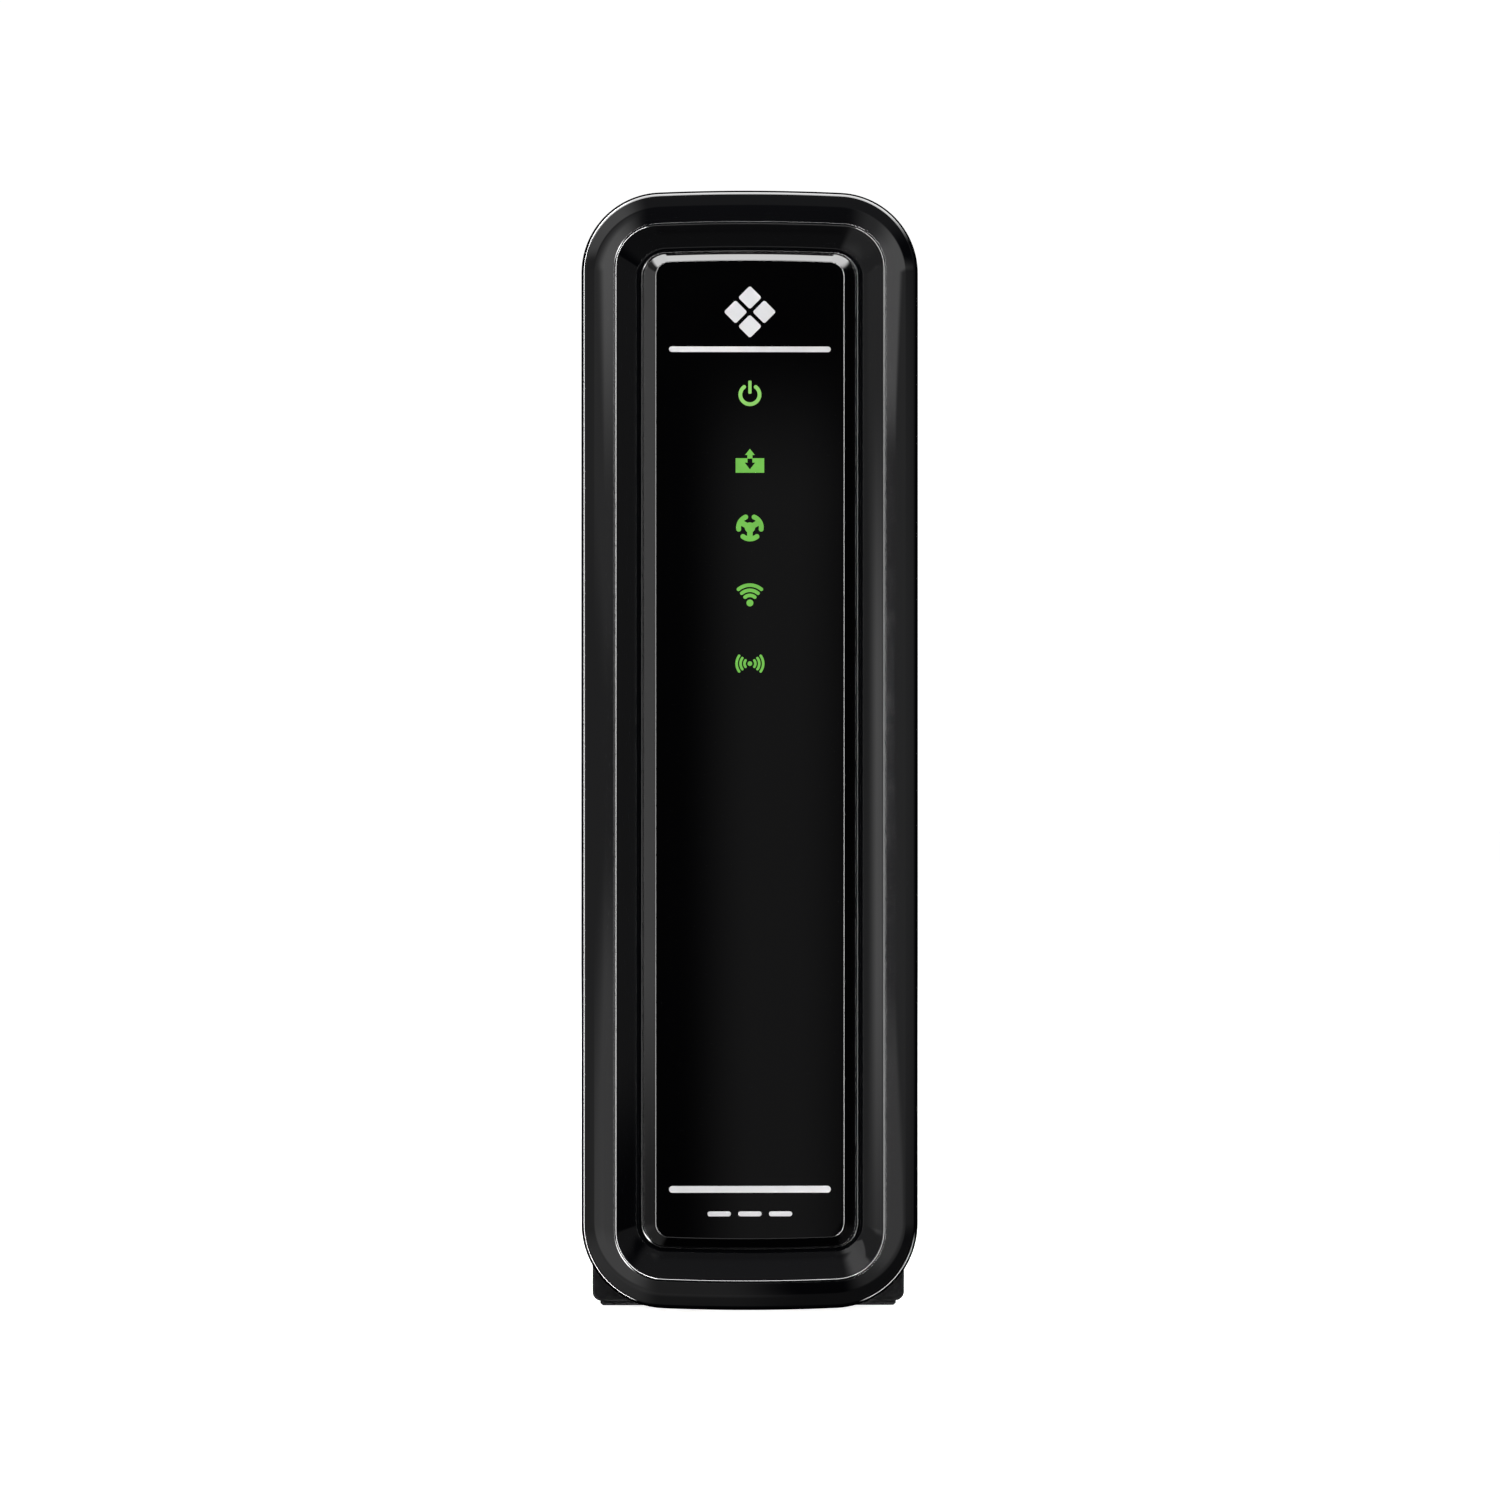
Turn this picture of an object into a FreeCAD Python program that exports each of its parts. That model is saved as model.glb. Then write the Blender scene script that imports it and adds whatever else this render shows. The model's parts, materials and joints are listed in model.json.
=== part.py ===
import FreeCAD, Part
import math
import os

# Upright cable modem with built-in Wi-Fi. Millimetres, +Z up, front towards -Y, left and right as seen from
# the front, origin on the table under the middle of the whole object, coax port included.
# A gloss bezel with a raised, tinted lens closes the front. Two moulded halves, split on the plane x = 0,
# carry the circuit board, which is screwed to the left half, and a separate rear panel round the ports.

V = FreeCAD.Vector
ALONG_X, ALONG_Y = (1, 0, 0), (0, 1, 0)

# ---- driving dimensions ----
# bezel: a ring that slopes outwards, a dish that slopes inwards, and a skirt behind
FRONT_Y = -66.5          # crest of the ring
LIFT = 0.55              # bezel above the table
ARCH_R = 330.0           # its top and bottom edges are very slightly arched
BEZEL_HALF_W, BEZEL_TOP = 27.5, 183.55
BEZEL_R_TOP, BEZEL_R_BOTTOM = 13.2, 13.9
BEZEL_WALL = 2.0
SHOULDER_IN, SHOULDER_Y = 0.45, -65.08    # the sides draw in a little towards the front
SKIRT_REAR_Y, FLARE_Y = -52.3, -62.3
CREST_HALF_W, CREST_BOTTOM, CREST_TOP = 21.8, 5.5, 177.95
CREST_R_TOP, CREST_R_BOTTOM = 6.8, 7.9
DISH_Y = -63.9           # foot of the dish, round the lens
LEDGE_IN = 12.6          # the ledge that the lens rests on ends here, inwards from the outline
LEDGE_Y, LEDGE_REAR_Y = -63.0, -61.6
SNAP_Z = (48.0, 92.0, 136.0)

LENS_HALF_W, LENS_BOTTOM, LENS_TOP, LENS_R = 17.7, 10.5, 173.7, 4.0
LENS_EDGE_Y = -64.7      # top of the lens's upright edge
LENS_GAP = 0.15
FACE_HALF_W, FACE_BOTTOM, FACE_TOP, FACE_R = 15.35, 12.3, 171.9, 2.3    # flat face inside its bevel
FACE_Y = -65.7
ICON_DEPTH = 0.6         # the icons are flush inlays in the lens
ICON_Z = {"power": 150.1, "traffic": 139.3, "online": 128.4, "wireless": 117.5, "pairing": 106.2}

# case
CASE_HALF_W, CASE_BOTTOM, CASE_TOP = 25.8, 0.95, 182.2
CASE_R_TOP, CASE_R_BOTTOM = 11.7, 1.5
CASE_FRONT_Y, CASE_REAR_Y = -51.7, 61.0
WALL, REAR_WALL = 2.2, 3.4
NECK_FRONT_Y, NECK_GAP, NECK_WALL = -61.0, 0.2, 1.8      # the neck is the case's end inside the bezel
SEAM = 0.06              # half the gap between the two halves
SLOT_W = 1.7             # cooling slots
TONGUE = 1.5             # the left half's tongue reaches this far across the seam

WINDOW_HALF_W, WINDOW_BOTTOM, WINDOW_TOP, WINDOW_R = 16.0, 16.0, 148.0, 4.0     # opening in the rear wall
PANEL_LAP = 2.5          # rear panel beyond the window
PANEL_FRONT_Y, PANEL_REAR_Y = 55.5, 57.5
PORT_GAP = 0.15          # round everything that comes through the rear panel

FOOT_HALF_W, FOOT_POCKET = 24.5, 0.5
FOOT_Y = ((-49.5, -41.5), (49.5, 57.5))
LABEL_HALF_W, LABEL_Y, LABEL_T = 17.0, (2.0, 44.0), 0.12

# circuit board, components on its +X side, and the screws: (y, z)
BOARD_X0, BOARD_X1 = -10.0, -8.4
BOARD_Y, BOARD_Z = (-42.0, 54.5), (14.0, 150.0)
BOARD_SCREWS = ((-37.0, 19.0), (-37.0, 92.0), (33.0, 19.0), (33.0, 145.0))
CASE_SCREWS = ((-56.3, 22.0), (-56.3, 163.0), (50.0, 9.0), (50.0, 158.0))
POST_TIP_X, SCREW_SEAT_X = 14.0, 15.7

# (y, z, size along y, size along z, height) on the board
MEMORY_CHIPS = ((-24, 120, 9, 13.5, 1.1), (-24, 104, 9, 13.5, 1.1), (-24, 138, 8, 6, 1.6))
WIFI_CHIPS = ((-20, 80, 10, 10, 0.9), (8, 78, 10, 10, 0.9))
WIFI_SHIELDS = ((-18, 80, 18, 26, 3.2), (8, 78, 26, 22, 3.2))
TUNER_SHIELD = (20, 49, 34, 22, 4.5)
TRANSFORMERS = ((27.5, 104, 8, 15, 5.6), (27.5, 84, 8, 15, 5.6))
CRYSTALS = ((-14, 54, 3.2, 2.5, 0.8), (-5, 91.5, 3.2, 2.5, 0.8))
INDUCTORS = ((-15.5, 21, 7, 7, 4.2), (-24.5, 21, 7, 7, 4.2), (14, 32, 7, 7, 4.2))
MAIN_CHIP = (4, 112, 23, 23, 2.0)
# (y, z, radius, height)
CAPACITORS = ((22, 20.5, 4.0, 11.5), (13, 20.5, 4.0, 11.5), (3, 21, 3.15, 11), (-5.5, 21, 3.15, 11))
PAD_T = 0.5              # thermal pad between the main chip and its heat sink
SINK_HALF, SINK_BASE, SINK_H, SINK_FINS = 18.0, 2.4, 15.0, 12

# ports, from the top down
PAIR_Z, JACK_Z, RESET_Z, COAX_Z, POWER_Z = 137.0, (104.0, 84.0), 66.5, 49.0, 26.0
PORT_FACE_Y = 57.7       # sockets stand just proud of the rear panel
SWITCH_X = -5.9          # axis of both push switches
PLUNGER_R, PLUNGER_FOOT_Y = 1.1, 50.9
PINHOLE_R = 1.1          # in the rear panel, in line with the reset plunger
CAP_Y = (54.3, 58.3)     # pairing button
JACK_X = (-8.3, 5.3)
JACK_HALF_Z, JACK_DEPTH, SHIELD_T, JACK_FIT = 8.15, 20.8, 0.3, 0.02
COAX_X, COAX_TIP_Y = -1.2, 66.5
COAX_THREAD_R, COAX_BARREL_R, COAX_BORE_R = 4.76, 5.0, 3.6
POWER_X, POWER_BORE_R, POWER_BORE_FLOOR_Y = -2.4, 3.15, 48.0
POWER_PIN_R, POWER_PIN_ROOT_R, POWER_PIN_Y = 1.05, 1.3, (46.02, 57.0)
POWER_X1, POWER_HALF_Z = 2.55, 4.7

# Wi-Fi aerials: two stand in grooves of the right half, the third hangs from its roof
AERIAL_T, AERIAL_H = 0.8, 10.0
SIDE_AERIAL_X, SIDE_AERIAL_Y, SIDE_AERIAL_Z = 21.2, (-38.0, -14.0), (60.0, 110.0)
TOP_AERIAL_X, TOP_AERIAL_Y = 8.0, (-36.0, 4.0)
LEAD_R = 0.57
LEAD_PLUGS = ((-30.0, 70.0), (-30.0, 82.0), (-30.0, 94.0))      # (y, z) on the board
LEAD_ROUTES = (
    ((-6.9, -30, 70), (2, -30, 70), (10, -29, 68), (16.5, -27, 67), (20.95, -26.5, 66.5)),
    ((-6.9, -30, 82), (2, -30, 82), (9, -29, 90), (13, -28, 101), (15.5, -27, 112), (20.85, -26.5, 116)),
    ((-6.9, -30, 94), (1, -30, 94), (5, -31, 104), (5.5, -32, 122), (6.5, -31, 140),
     (6.8, -28, 156), (7.2, -22, 167), (7.42, -16, 173)),
)


# ---- helpers ----
def box(x0, x1, y0, y1, z0, z1):
    return Part.makeBox(x1 - x0, y1 - y0, z1 - z0, V(x0, y0, z0))


def grown(x, y, z, by):
    """Box of three (low, high) pairs, grown on every side."""
    return box(x[0] - by, x[1] + by, y[0] - by, y[1] + by, z[0] - by, z[1] + by)


def cylinder(r, x, y, z, length, axis=ALONG_Y):
    return Part.makeCylinder(r, length, V(x, y, z), V(*axis))


def union(shapes):
    shapes = list(shapes)
    return shapes[0].multiFuse(shapes[1:]).removeSplitter()


def minus(shape, tools):
    return shape.cut(list(tools))


def placed(shape, x, y, z):
    copy = shape.copy()
    copy.translate(V(x, y, z))
    return copy


def edges_at(shape, axis, value):
    """Edges that lie whole in the plane axis = value."""
    return [e for e in shape.Edges if all(abs(getattr(v, axis) - value) < 1e-6 for v in e.Vertexes)]


def ordered(a, b):
    return (a, b) if a < b else (b, a)


def circle_point(centre, r, angle, y):
    return V(centre[0] + r * math.cos(angle), y, centre[1] + r * math.sin(angle))


def rounded_polygon(corners, place):
    """Closed wire through (u, v, radius) corners, each rounded by an arc. place(u, v) is a point in space."""
    arcs, starts, ends = [], [], []
    for i, (u, v, r) in enumerate(corners):
        here = V(u, v, 0)
        back = (V(*corners[i - 1][:2], 0) - here).normalize()
        on = (V(*corners[(i + 1) % len(corners)][:2], 0) - here).normalize()
        half = back.getAngle(on) / 2
        reach = r / math.tan(half) if r else 0.0
        starts.append(here + back * reach)
        ends.append(here + on * reach)
        middle = here + (back + on).normalize() * (r / math.sin(half) - r) if r else here
        arcs.append([place(p.x, p.y) for p in (starts[-1], middle, ends[-1])] if r else None)
    edges = []
    for i, arc in enumerate(arcs):
        if arc:
            edges.append(Part.Arc(*arc).toShape())
        a, b = ends[i], starts[(i + 1) % len(corners)]
        if a.distanceToPoint(b) > 1e-6:
            edges.append(Part.LineSegment(place(a.x, a.y), place(b.x, b.y)).toShape())
    return Part.Wire(edges)


def prism_x(corners, x0, x1):
    """Solid of a rounded (y, z, radius) polygon between two planes across X."""
    return Part.Face(rounded_polygon(corners, lambda u, v: V(x0, u, v))).extrude(V(x1 - x0, 0, 0))


def prism_y(corners, y0, y1):
    """Solid of a rounded (x, z, radius) polygon between two planes across Y."""
    return Part.Face(rounded_polygon(corners, lambda u, v: V(u, y0, v))).extrude(V(0, y1 - y0, 0))


def prism_z(corners, z0, z1):
    """Solid of a rounded (x, y, radius) polygon between two planes across Z."""
    return Part.Face(rounded_polygon(corners, lambda u, v: V(u, v, z0))).extrude(V(0, 0, z1 - z0))


def rectangle(u0, u1, v0, v1, r):
    return [(u0, v0, r), (u1, v0, r), (u1, v1, r), (u0, v1, r)]


def rounded_block(x0, x1, y0, y1, z0, z1, r):
    """Block whose four edges along Y are rounded."""
    return prism_y(rectangle(x0, x1, z0, z1, r), y0, y1)


def slot(u0, u1, v):
    """Corners of a cooling slot along u with round ends."""
    return rectangle(u0, u1, v - SLOT_W / 2, v + SLOT_W / 2, SLOT_W / 2 - 0.01)


# ---- upright outlines with rounded corners and slightly arched ends ----
def edge_end(half_w, edge_z, r, up, arch):
    """Centre height of a corner arc, its angle to the end's arch, and the arch's centre height, if any."""
    if arch is None:
        return edge_z - up * r, math.pi / 2, None
    dx = half_w - r
    dz = math.sqrt((arch - r) ** 2 - dx ** 2)
    arch_z = edge_z - up * arch
    return arch_z + up * dz, math.atan2(dz, dx), arch_z


def path(half_w, bottom, top, r_bottom, r_top, arch_bottom=ARCH_R, arch_top=ARCH_R):
    """Segments of an upright outline in the XZ plane, anticlockwise from the lower right."""
    top_z, top_angle, top_centre = edge_end(half_w, top, r_top, 1, arch_top)
    low_z, low_angle, low_centre = edge_end(half_w, bottom, r_bottom, -1, arch_bottom)
    top_x, low_x = half_w - r_top, half_w - r_bottom
    if top_centre is None:
        upper_end = ("line", (top_x, top), (-top_x, top))
    else:
        upper_end = ("arc", (0, top_centre), arch_top, top_angle, math.pi - top_angle)
    if low_centre is None:
        lower_end = ("line", (-low_x, bottom), (low_x, bottom))
    else:
        lower_end = ("arc", (0, low_centre), arch_bottom, math.pi + low_angle, 2 * math.pi - low_angle)
    return [
        ("line", (half_w, low_z), (half_w, top_z)),
        ("arc", (top_x, top_z), r_top, 0, top_angle),
        upper_end,
        ("arc", (-top_x, top_z), r_top, math.pi - top_angle, math.pi),
        ("line", (-half_w, top_z), (-half_w, low_z)),
        ("arc", (-low_x, low_z), r_bottom, math.pi, math.pi + low_angle),
        lower_end,
        ("arc", (low_x, low_z), r_bottom, 2 * math.pi - low_angle, 2 * math.pi),
    ]


def outline(segments, y):
    """Wire of a path at the depth y."""
    edges = []
    for kind, *rest in segments:
        if kind == "line":
            (x0, z0), (x1, z1) = rest
            edges.append(Part.LineSegment(V(x0, y, z0), V(x1, y, z1)).toShape())
        else:
            centre, r, start, end = rest
            points = [circle_point(centre, r, a, y) for a in (start, (start + end) / 2, end)]
            edges.append(Part.Arc(*points).toShape())
    return Part.Wire(edges)


def slab(segments, y0, y1):
    return Part.Face(outline(segments, y0)).extrude(V(0, y1 - y0, 0))


def loft(levels):
    """Solid through (path, y) levels with straight sides between them."""
    return Part.makeLoft([outline(segments, y) for segments, y in levels], True, True)


def swept(profile, segments):
    """Solid of a rounded (inwards, y, radius) profile carried once round a path."""
    pieces = []
    for kind, *rest in segments:
        if kind == "line":
            (x, z), (_, end_z) = rest
            side = math.copysign(1, x)
            wire = rounded_polygon(profile, lambda d, y: V(x - side * d, y, z))
            pieces.append(Part.Face(wire).extrude(V(0, 0, end_z - z)))
        else:
            centre, r, start, end = rest
            wire = rounded_polygon(profile, lambda d, y: circle_point(centre, r - d, start, y))
            turn = math.degrees(end - start)
            pieces.append(Part.Face(wire).revolve(V(centre[0], 0, centre[1]), V(0, -1, 0), turn))
    return union(pieces)


# ---- status icons: flat shapes 1 thick, centred on the origin ----
def ring_sector(r0, r1, middle, half_span):
    """Sector of a flat ring with round ends, angles in degrees from +X."""
    a, b = math.radians(middle - half_span), math.radians(middle + half_span)
    centre = (0, 0)
    inner = [circle_point(centre, r0, t, 0) for t in (b, (a + b) / 2, a)]
    outer = [circle_point(centre, r1, t, 0) for t in (a, (a + b) / 2, b)]
    edges = [Part.Arc(*outer).toShape(), Part.LineSegment(outer[2], inner[0]).toShape(),
             Part.Arc(*inner).toShape(), Part.LineSegment(inner[2], outer[0]).toShape()]
    sector = Part.Face(Part.Wire(edges)).extrude(V(0, 1, 0))
    ends = [cylinder((r1 - r0) / 2, *circle_point(centre, (r0 + r1) / 2, t, 0), 1) for t in (a, b)]
    return union([sector] + ends)


def arrow(shaft_half, head_half, tail_z, neck_z, tip_z):
    half = [(shaft_half, tail_z), (shaft_half, neck_z), (head_half, neck_z), (0, tip_z)]
    mirrored = [(-x, z) for x, z in reversed(half[:3])]
    return prism_y([(x, z, 0) for x, z in half + mirrored], 0, 1)


def icon_power():
    return [ring_sector(1.26, 1.87, 270, 143), rounded_block(-0.26, 0.26, 0, 1, 0.15, 2.28, 0.15)]


def icon_traffic():
    tray = union([box(-2.33, 2.33, 0, 1, -1.95, 0.42), arrow(0.42, 0.8, 0.2, 0.95, 1.95)])
    return [minus(tray, [arrow(0.4, 0.86, 0.36, -0.3, -1.4)])]


def icon_online():
    shapes = [cylinder(0.85, 0, 0, 0, 1)]
    for turn in (0, 120, 240):
        shapes.append(ring_sector(1.45, 2.25, 30 + turn, 38))
        spoke = box(-0.45, 0.45, 0, 1, -1.7, 0)
        spoke.rotate(V(0, 0, 0), V(0, 1, 0), turn)
        shapes.append(spoke)
    return [union(shapes)]


def icon_wireless():
    shapes = [cylinder(0.56, 0, 0, 0, 1)] + [ring_sector(r, r + 0.58, 90, 40) for r in (0.95, 1.78, 2.62)]
    return [placed(shape, 0, 0, -1.4) for shape in shapes]


def icon_pairing():
    arcs = [ring_sector(r, r + 0.42, side, 36) for r in (0.68, 1.32, 1.96) for side in (0, 180)]
    return [cylinder(0.38, 0, 0, 0, 1)] + arcs


def status_icons():
    makers = {"power": icon_power, "traffic": icon_traffic, "online": icon_online,
              "wireless": icon_wireless, "pairing": icon_pairing}
    to_depth = FreeCAD.Matrix(1, 0, 0, 0, 0, ICON_DEPTH, 0, 0, 0, 0, 1, 0, 0, 0, 0, 1)
    return [placed(shape.transformGeometry(to_depth), 0, FACE_Y, z) for name, z in ICON_Z.items()
            for shape in makers[name]()]


# ---- front ----
def inset(amount):
    """The bezel's outline moved inwards."""
    return path(BEZEL_HALF_W - amount, LIFT + amount, BEZEL_TOP - amount, BEZEL_R_BOTTOM - amount,
                BEZEL_R_TOP - amount, ARCH_R - amount, ARCH_R - amount)


def lens_path(out):
    """The lens's outline moved outwards."""
    return path(LENS_HALF_W + out, LENS_BOTTOM - out, LENS_TOP + out, LENS_R + out, LENS_R + out)


def crest_path(out):
    """The ring's inner edge moved outwards."""
    return path(CREST_HALF_W + out, CREST_BOTTOM - out, CREST_TOP + out,
                CREST_R_BOTTOM + out, CREST_R_TOP + out)


def dish():
    """Cutter for the sloping dish and for the upright wall round the lens."""
    return loft([(crest_path(0.5), FRONT_Y - 0.2), (crest_path(0.2), FRONT_Y), (crest_path(0), FRONT_Y + 0.2),
                 (lens_path(LENS_GAP + 0.1), DISH_Y), (lens_path(LENS_GAP), DISH_Y + 0.1),
                 (lens_path(LENS_GAP), LEDGE_Y)])


def snap_tab(side, z):
    """Wedge inside the skirt that clicks into the neck."""
    x = BEZEL_HALF_W - BEZEL_WALL
    wedge = [(x + 0.3, -57.8), (x - 0.6, -56.4), (x - 0.6, -55.8), (x + 0.3, -55.4)]
    return prism_z([(side * u, v, 0) for u, v in wedge], z - 4, z + 4)


def front_bezel():
    profile = [
        (0, SKIRT_REAR_Y, 0.3), (0, FLARE_Y, 1.5), (SHOULDER_IN, SHOULDER_Y, 0.8), (2.9, -66.05, 9.0),
        (5.0, FRONT_Y, 1.0),
        (LEDGE_IN, FRONT_Y, 0), (LEDGE_IN, LEDGE_REAR_Y, 0.1), (7.6, LEDGE_REAR_Y, 0.8), (5.6, -63.4, 0.8),
        (BEZEL_WALL, -62.8, 0.8), (BEZEL_WALL, SKIRT_REAR_Y, 0.2),
    ]
    tabs = [snap_tab(side, z) for side in (-1, 1) for z in SNAP_Z]
    return union([minus(swept(profile, inset(0)), [dish()])] + tabs)


def front_lens(icons):
    face = path(FACE_HALF_W, FACE_BOTTOM, FACE_TOP, FACE_R, FACE_R)
    rim = path(FACE_HALF_W + 0.16, FACE_BOTTOM - 0.14, FACE_TOP + 0.14, FACE_R, FACE_R)
    lens = loft([(lens_path(0), LEDGE_Y), (lens_path(0), LENS_EDGE_Y), (lens_path(-0.12), LENS_EDGE_Y - 0.12),
                 (rim, FACE_Y + 0.08), (face, FACE_Y)])
    return minus(lens, icons)


def light_baffle():
    """Black grid behind the lens that keeps each icon's light to itself."""
    low, high = min(ICON_Z.values()) - 7, max(ICON_Z.values()) + 7
    grid = rounded_block(-7.5, 7.5, LEDGE_Y, -57, low, high, 1.5)
    ears = [box(-17.5, 17.5, LEDGE_REAR_Y, LEDGE_REAR_Y + 1.6, z, z + 6) for z in (low, high - 6)]
    cells = [rounded_block(-3.4, 3.4, LEDGE_Y - 1, -56, z - 3.4, z + 3.4, 0.8) for z in ICON_Z.values()]
    return minus(union([grid] + ears), cells)


def light_guide():
    """Clear moulding on the board's edge with a finger forward to each icon, joined by a spine."""
    bend = [(BOARD_X1, -40.9, 0.2), (-5.6, -40.9, 0.2), (2.3, -58.0, 2), (2.3, -62.7, 0.2),
            (-2.3, -62.7, 0.2), (-2.3, -57.6, 2), (BOARD_X1, -45.5, 1)]
    fingers = [prism_z(bend, z - 2.3, z + 2.3) for z in ICON_Z.values()]
    spine = box(-4.6, -3.0, -50.6, -47.6, min(ICON_Z.values()) - 2, max(ICON_Z.values()) + 2)
    return union(fingers + [spine])


# ---- case ----
def case_path(by=0.0):
    """The case's outline moved inwards."""
    return path(CASE_HALF_W - by, CASE_BOTTOM + by, CASE_TOP - by,
                max(CASE_R_BOTTOM - by, 0.4), CASE_R_TOP - by, None, ARCH_R - by)


def vent_slots(side):
    """Cooling slots of one half: across its top, underside and upper rear, and a field on its flank."""
    x0, x1 = ordered(side * 3.2, side * 15.4)
    slots = [prism_z(slot(x0, x1, -41.0 + 4.2 * i), CASE_TOP - 5, CASE_TOP + 5) for i in range(22)]
    slots += [prism_z(slot(x0, x1, -35.0 + 4.2 * i), -1, 4) for i in range(8)]
    slots += [prism_y(slot(x0, x1, 162.0 + 4.0 * i), CASE_REAR_Y - 5, CASE_REAR_Y + 1) for i in range(4)]
    x0, x1 = ordered(side * 22, side * 28)
    for y in (-8.0, 18.0):
        slots += [prism_x(slot(y, y + 22, 62.0 + 4.4 * i), x0, x1) for i in range(16)]
    return slots


def case_shell():
    """Both halves as one hollow body, before the split."""
    body = slab(case_path(), CASE_FRONT_Y, CASE_REAR_Y)
    body = body.makeFillet(1.2, edges_at(body, "Y", CASE_REAR_Y))
    body = body.makeFillet(0.5, edges_at(body, "Y", CASE_FRONT_Y))
    neck_in = BEZEL_WALL + NECK_GAP
    neck = slab(inset(neck_in), NECK_FRONT_Y, CASE_FRONT_Y + 1)
    hollows = [
        slab(inset(neck_in + NECK_WALL), NECK_FRONT_Y - 1, CASE_FRONT_Y + WALL + 0.1),
        slab(case_path(WALL), CASE_FRONT_Y + WALL, CASE_REAR_Y - REAR_WALL),
        rounded_block(-WINDOW_HALF_W, WINDOW_HALF_W, CASE_REAR_Y - REAR_WALL - 2, CASE_REAR_Y + 1,
                      WINDOW_BOTTOM, WINDOW_TOP, WINDOW_R),
    ]
    x_range, z_range = (-FOOT_HALF_W, FOOT_HALF_W), (0, CASE_BOTTOM + FOOT_POCKET - 0.1)
    hollows += [grown(x_range, y_range, z_range, 0.1) for y_range in FOOT_Y]
    for side in (-1, 1):
        x0, x1 = ordered(side * 22.0, side * 26.5)
        hollows += [box(x0, x1, -58.1, -55.1, z - 4.4, z + 4.4) for z in SNAP_Z]
    return minus(union([body, neck]), hollows)


def panel_rails(side):
    """Ribs that hold the rear panel against the rear wall."""
    x0, x1 = ordered(side * (WINDOW_HALF_W + 1.2), side * (CASE_HALF_W - WALL + 0.2))
    return [box(x0, x1, PANEL_FRONT_Y - 1.6, PANEL_FRONT_Y - 0.1, z, z + 8) for z in (20, 60, 100, 136)]


def seam_strips(x0, x1, y0, y1, gap):
    """Strips along the seam, in the roof's and the floor's inner half, grown by a gap."""
    roof, floor = CASE_TOP - WALL, CASE_BOTTOM + WALL
    heights = ((roof - 0.02, roof + 0.95 + gap), (floor - 0.95 - gap, floor))
    return [box(x0, x1, y0, y1, *z_range) for z_range in heights]


def left_housing():
    half = case_shell().common(box(-40, -SEAM, -80, 80, -5, 200))
    inner = -(CASE_HALF_W - WALL) - 0.2
    adds = panel_rails(-1) + seam_strips(-TONGUE, TONGUE, -46, 56, 0)
    holes = vent_slots(-1)
    for y, z in BOARD_SCREWS:
        adds.append(cylinder(3.2, inner, y, z, BOARD_X0 - inner, ALONG_X))
        holes.append(cylinder(1.3, BOARD_X0 - 9, y, z, 10, ALONG_X))
    for y, z in CASE_SCREWS:
        adds.append(cylinder(3.4, inner, y, z, POST_TIP_X - inner, ALONG_X))
        holes.append(cylinder(1.5, 2, y, z, 13, ALONG_X))
    return minus(union([half] + adds), holes)


def aerial_holders():
    """Ribs with a groove for each aerial, and the grooves."""
    roof = CASE_TOP - WALL
    wall = CASE_HALF_W - WALL + 0.2
    x, (y0, y1) = SIDE_AERIAL_X, SIDE_AERIAL_Y
    ribs = [box(x - 1, wall, y0 - 2, y1 + 2, z - 3, z + 1.5) for z in SIDE_AERIAL_Z]
    x, (y0, y1) = TOP_AERIAL_X, TOP_AERIAL_Y
    ribs.append(box(x - 1.2, x + AERIAL_T + 1.2, y0 - 1, y1 + 1, roof - 4.5, roof + 0.2))
    return ribs, [grown(*place, 0.05) for place in aerial_places()]


def aerial_places():
    """(x, y, z) ranges of the aerials."""
    side_x, top_x = [(x, x + AERIAL_T) for x in (SIDE_AERIAL_X, TOP_AERIAL_X)]
    top = CASE_TOP - WALL - 2
    side = [(side_x, SIDE_AERIAL_Y, (z, z + AERIAL_H)) for z in SIDE_AERIAL_Z]
    return side + [(top_x, TOP_AERIAL_Y, (top - AERIAL_H, top))]


def right_housing():
    half = case_shell().common(box(SEAM, 40, -80, 80, -5, 200))
    ribs, grooves = aerial_holders()
    adds = panel_rails(1) + ribs
    holes = vent_slots(1) + grooves + seam_strips(-1, TONGUE + 0.15, -46.2, 56.2, 0.13)
    for y, z in CASE_SCREWS:
        outer = CASE_HALF_W if y > 0 else BEZEL_HALF_W - BEZEL_WALL - NECK_GAP
        start = POST_TIP_X + 0.1
        adds.append(cylinder(5.0, start, y, z, outer - 0.8 - start, ALONG_X))
        holes.append(cylinder(3.4, SCREW_SEAT_X, y, z, 20, ALONG_X))
        holes.append(cylinder(1.7, start - 1, y, z, 5, ALONG_X))
    return minus(union([half] + adds), holes)


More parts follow.
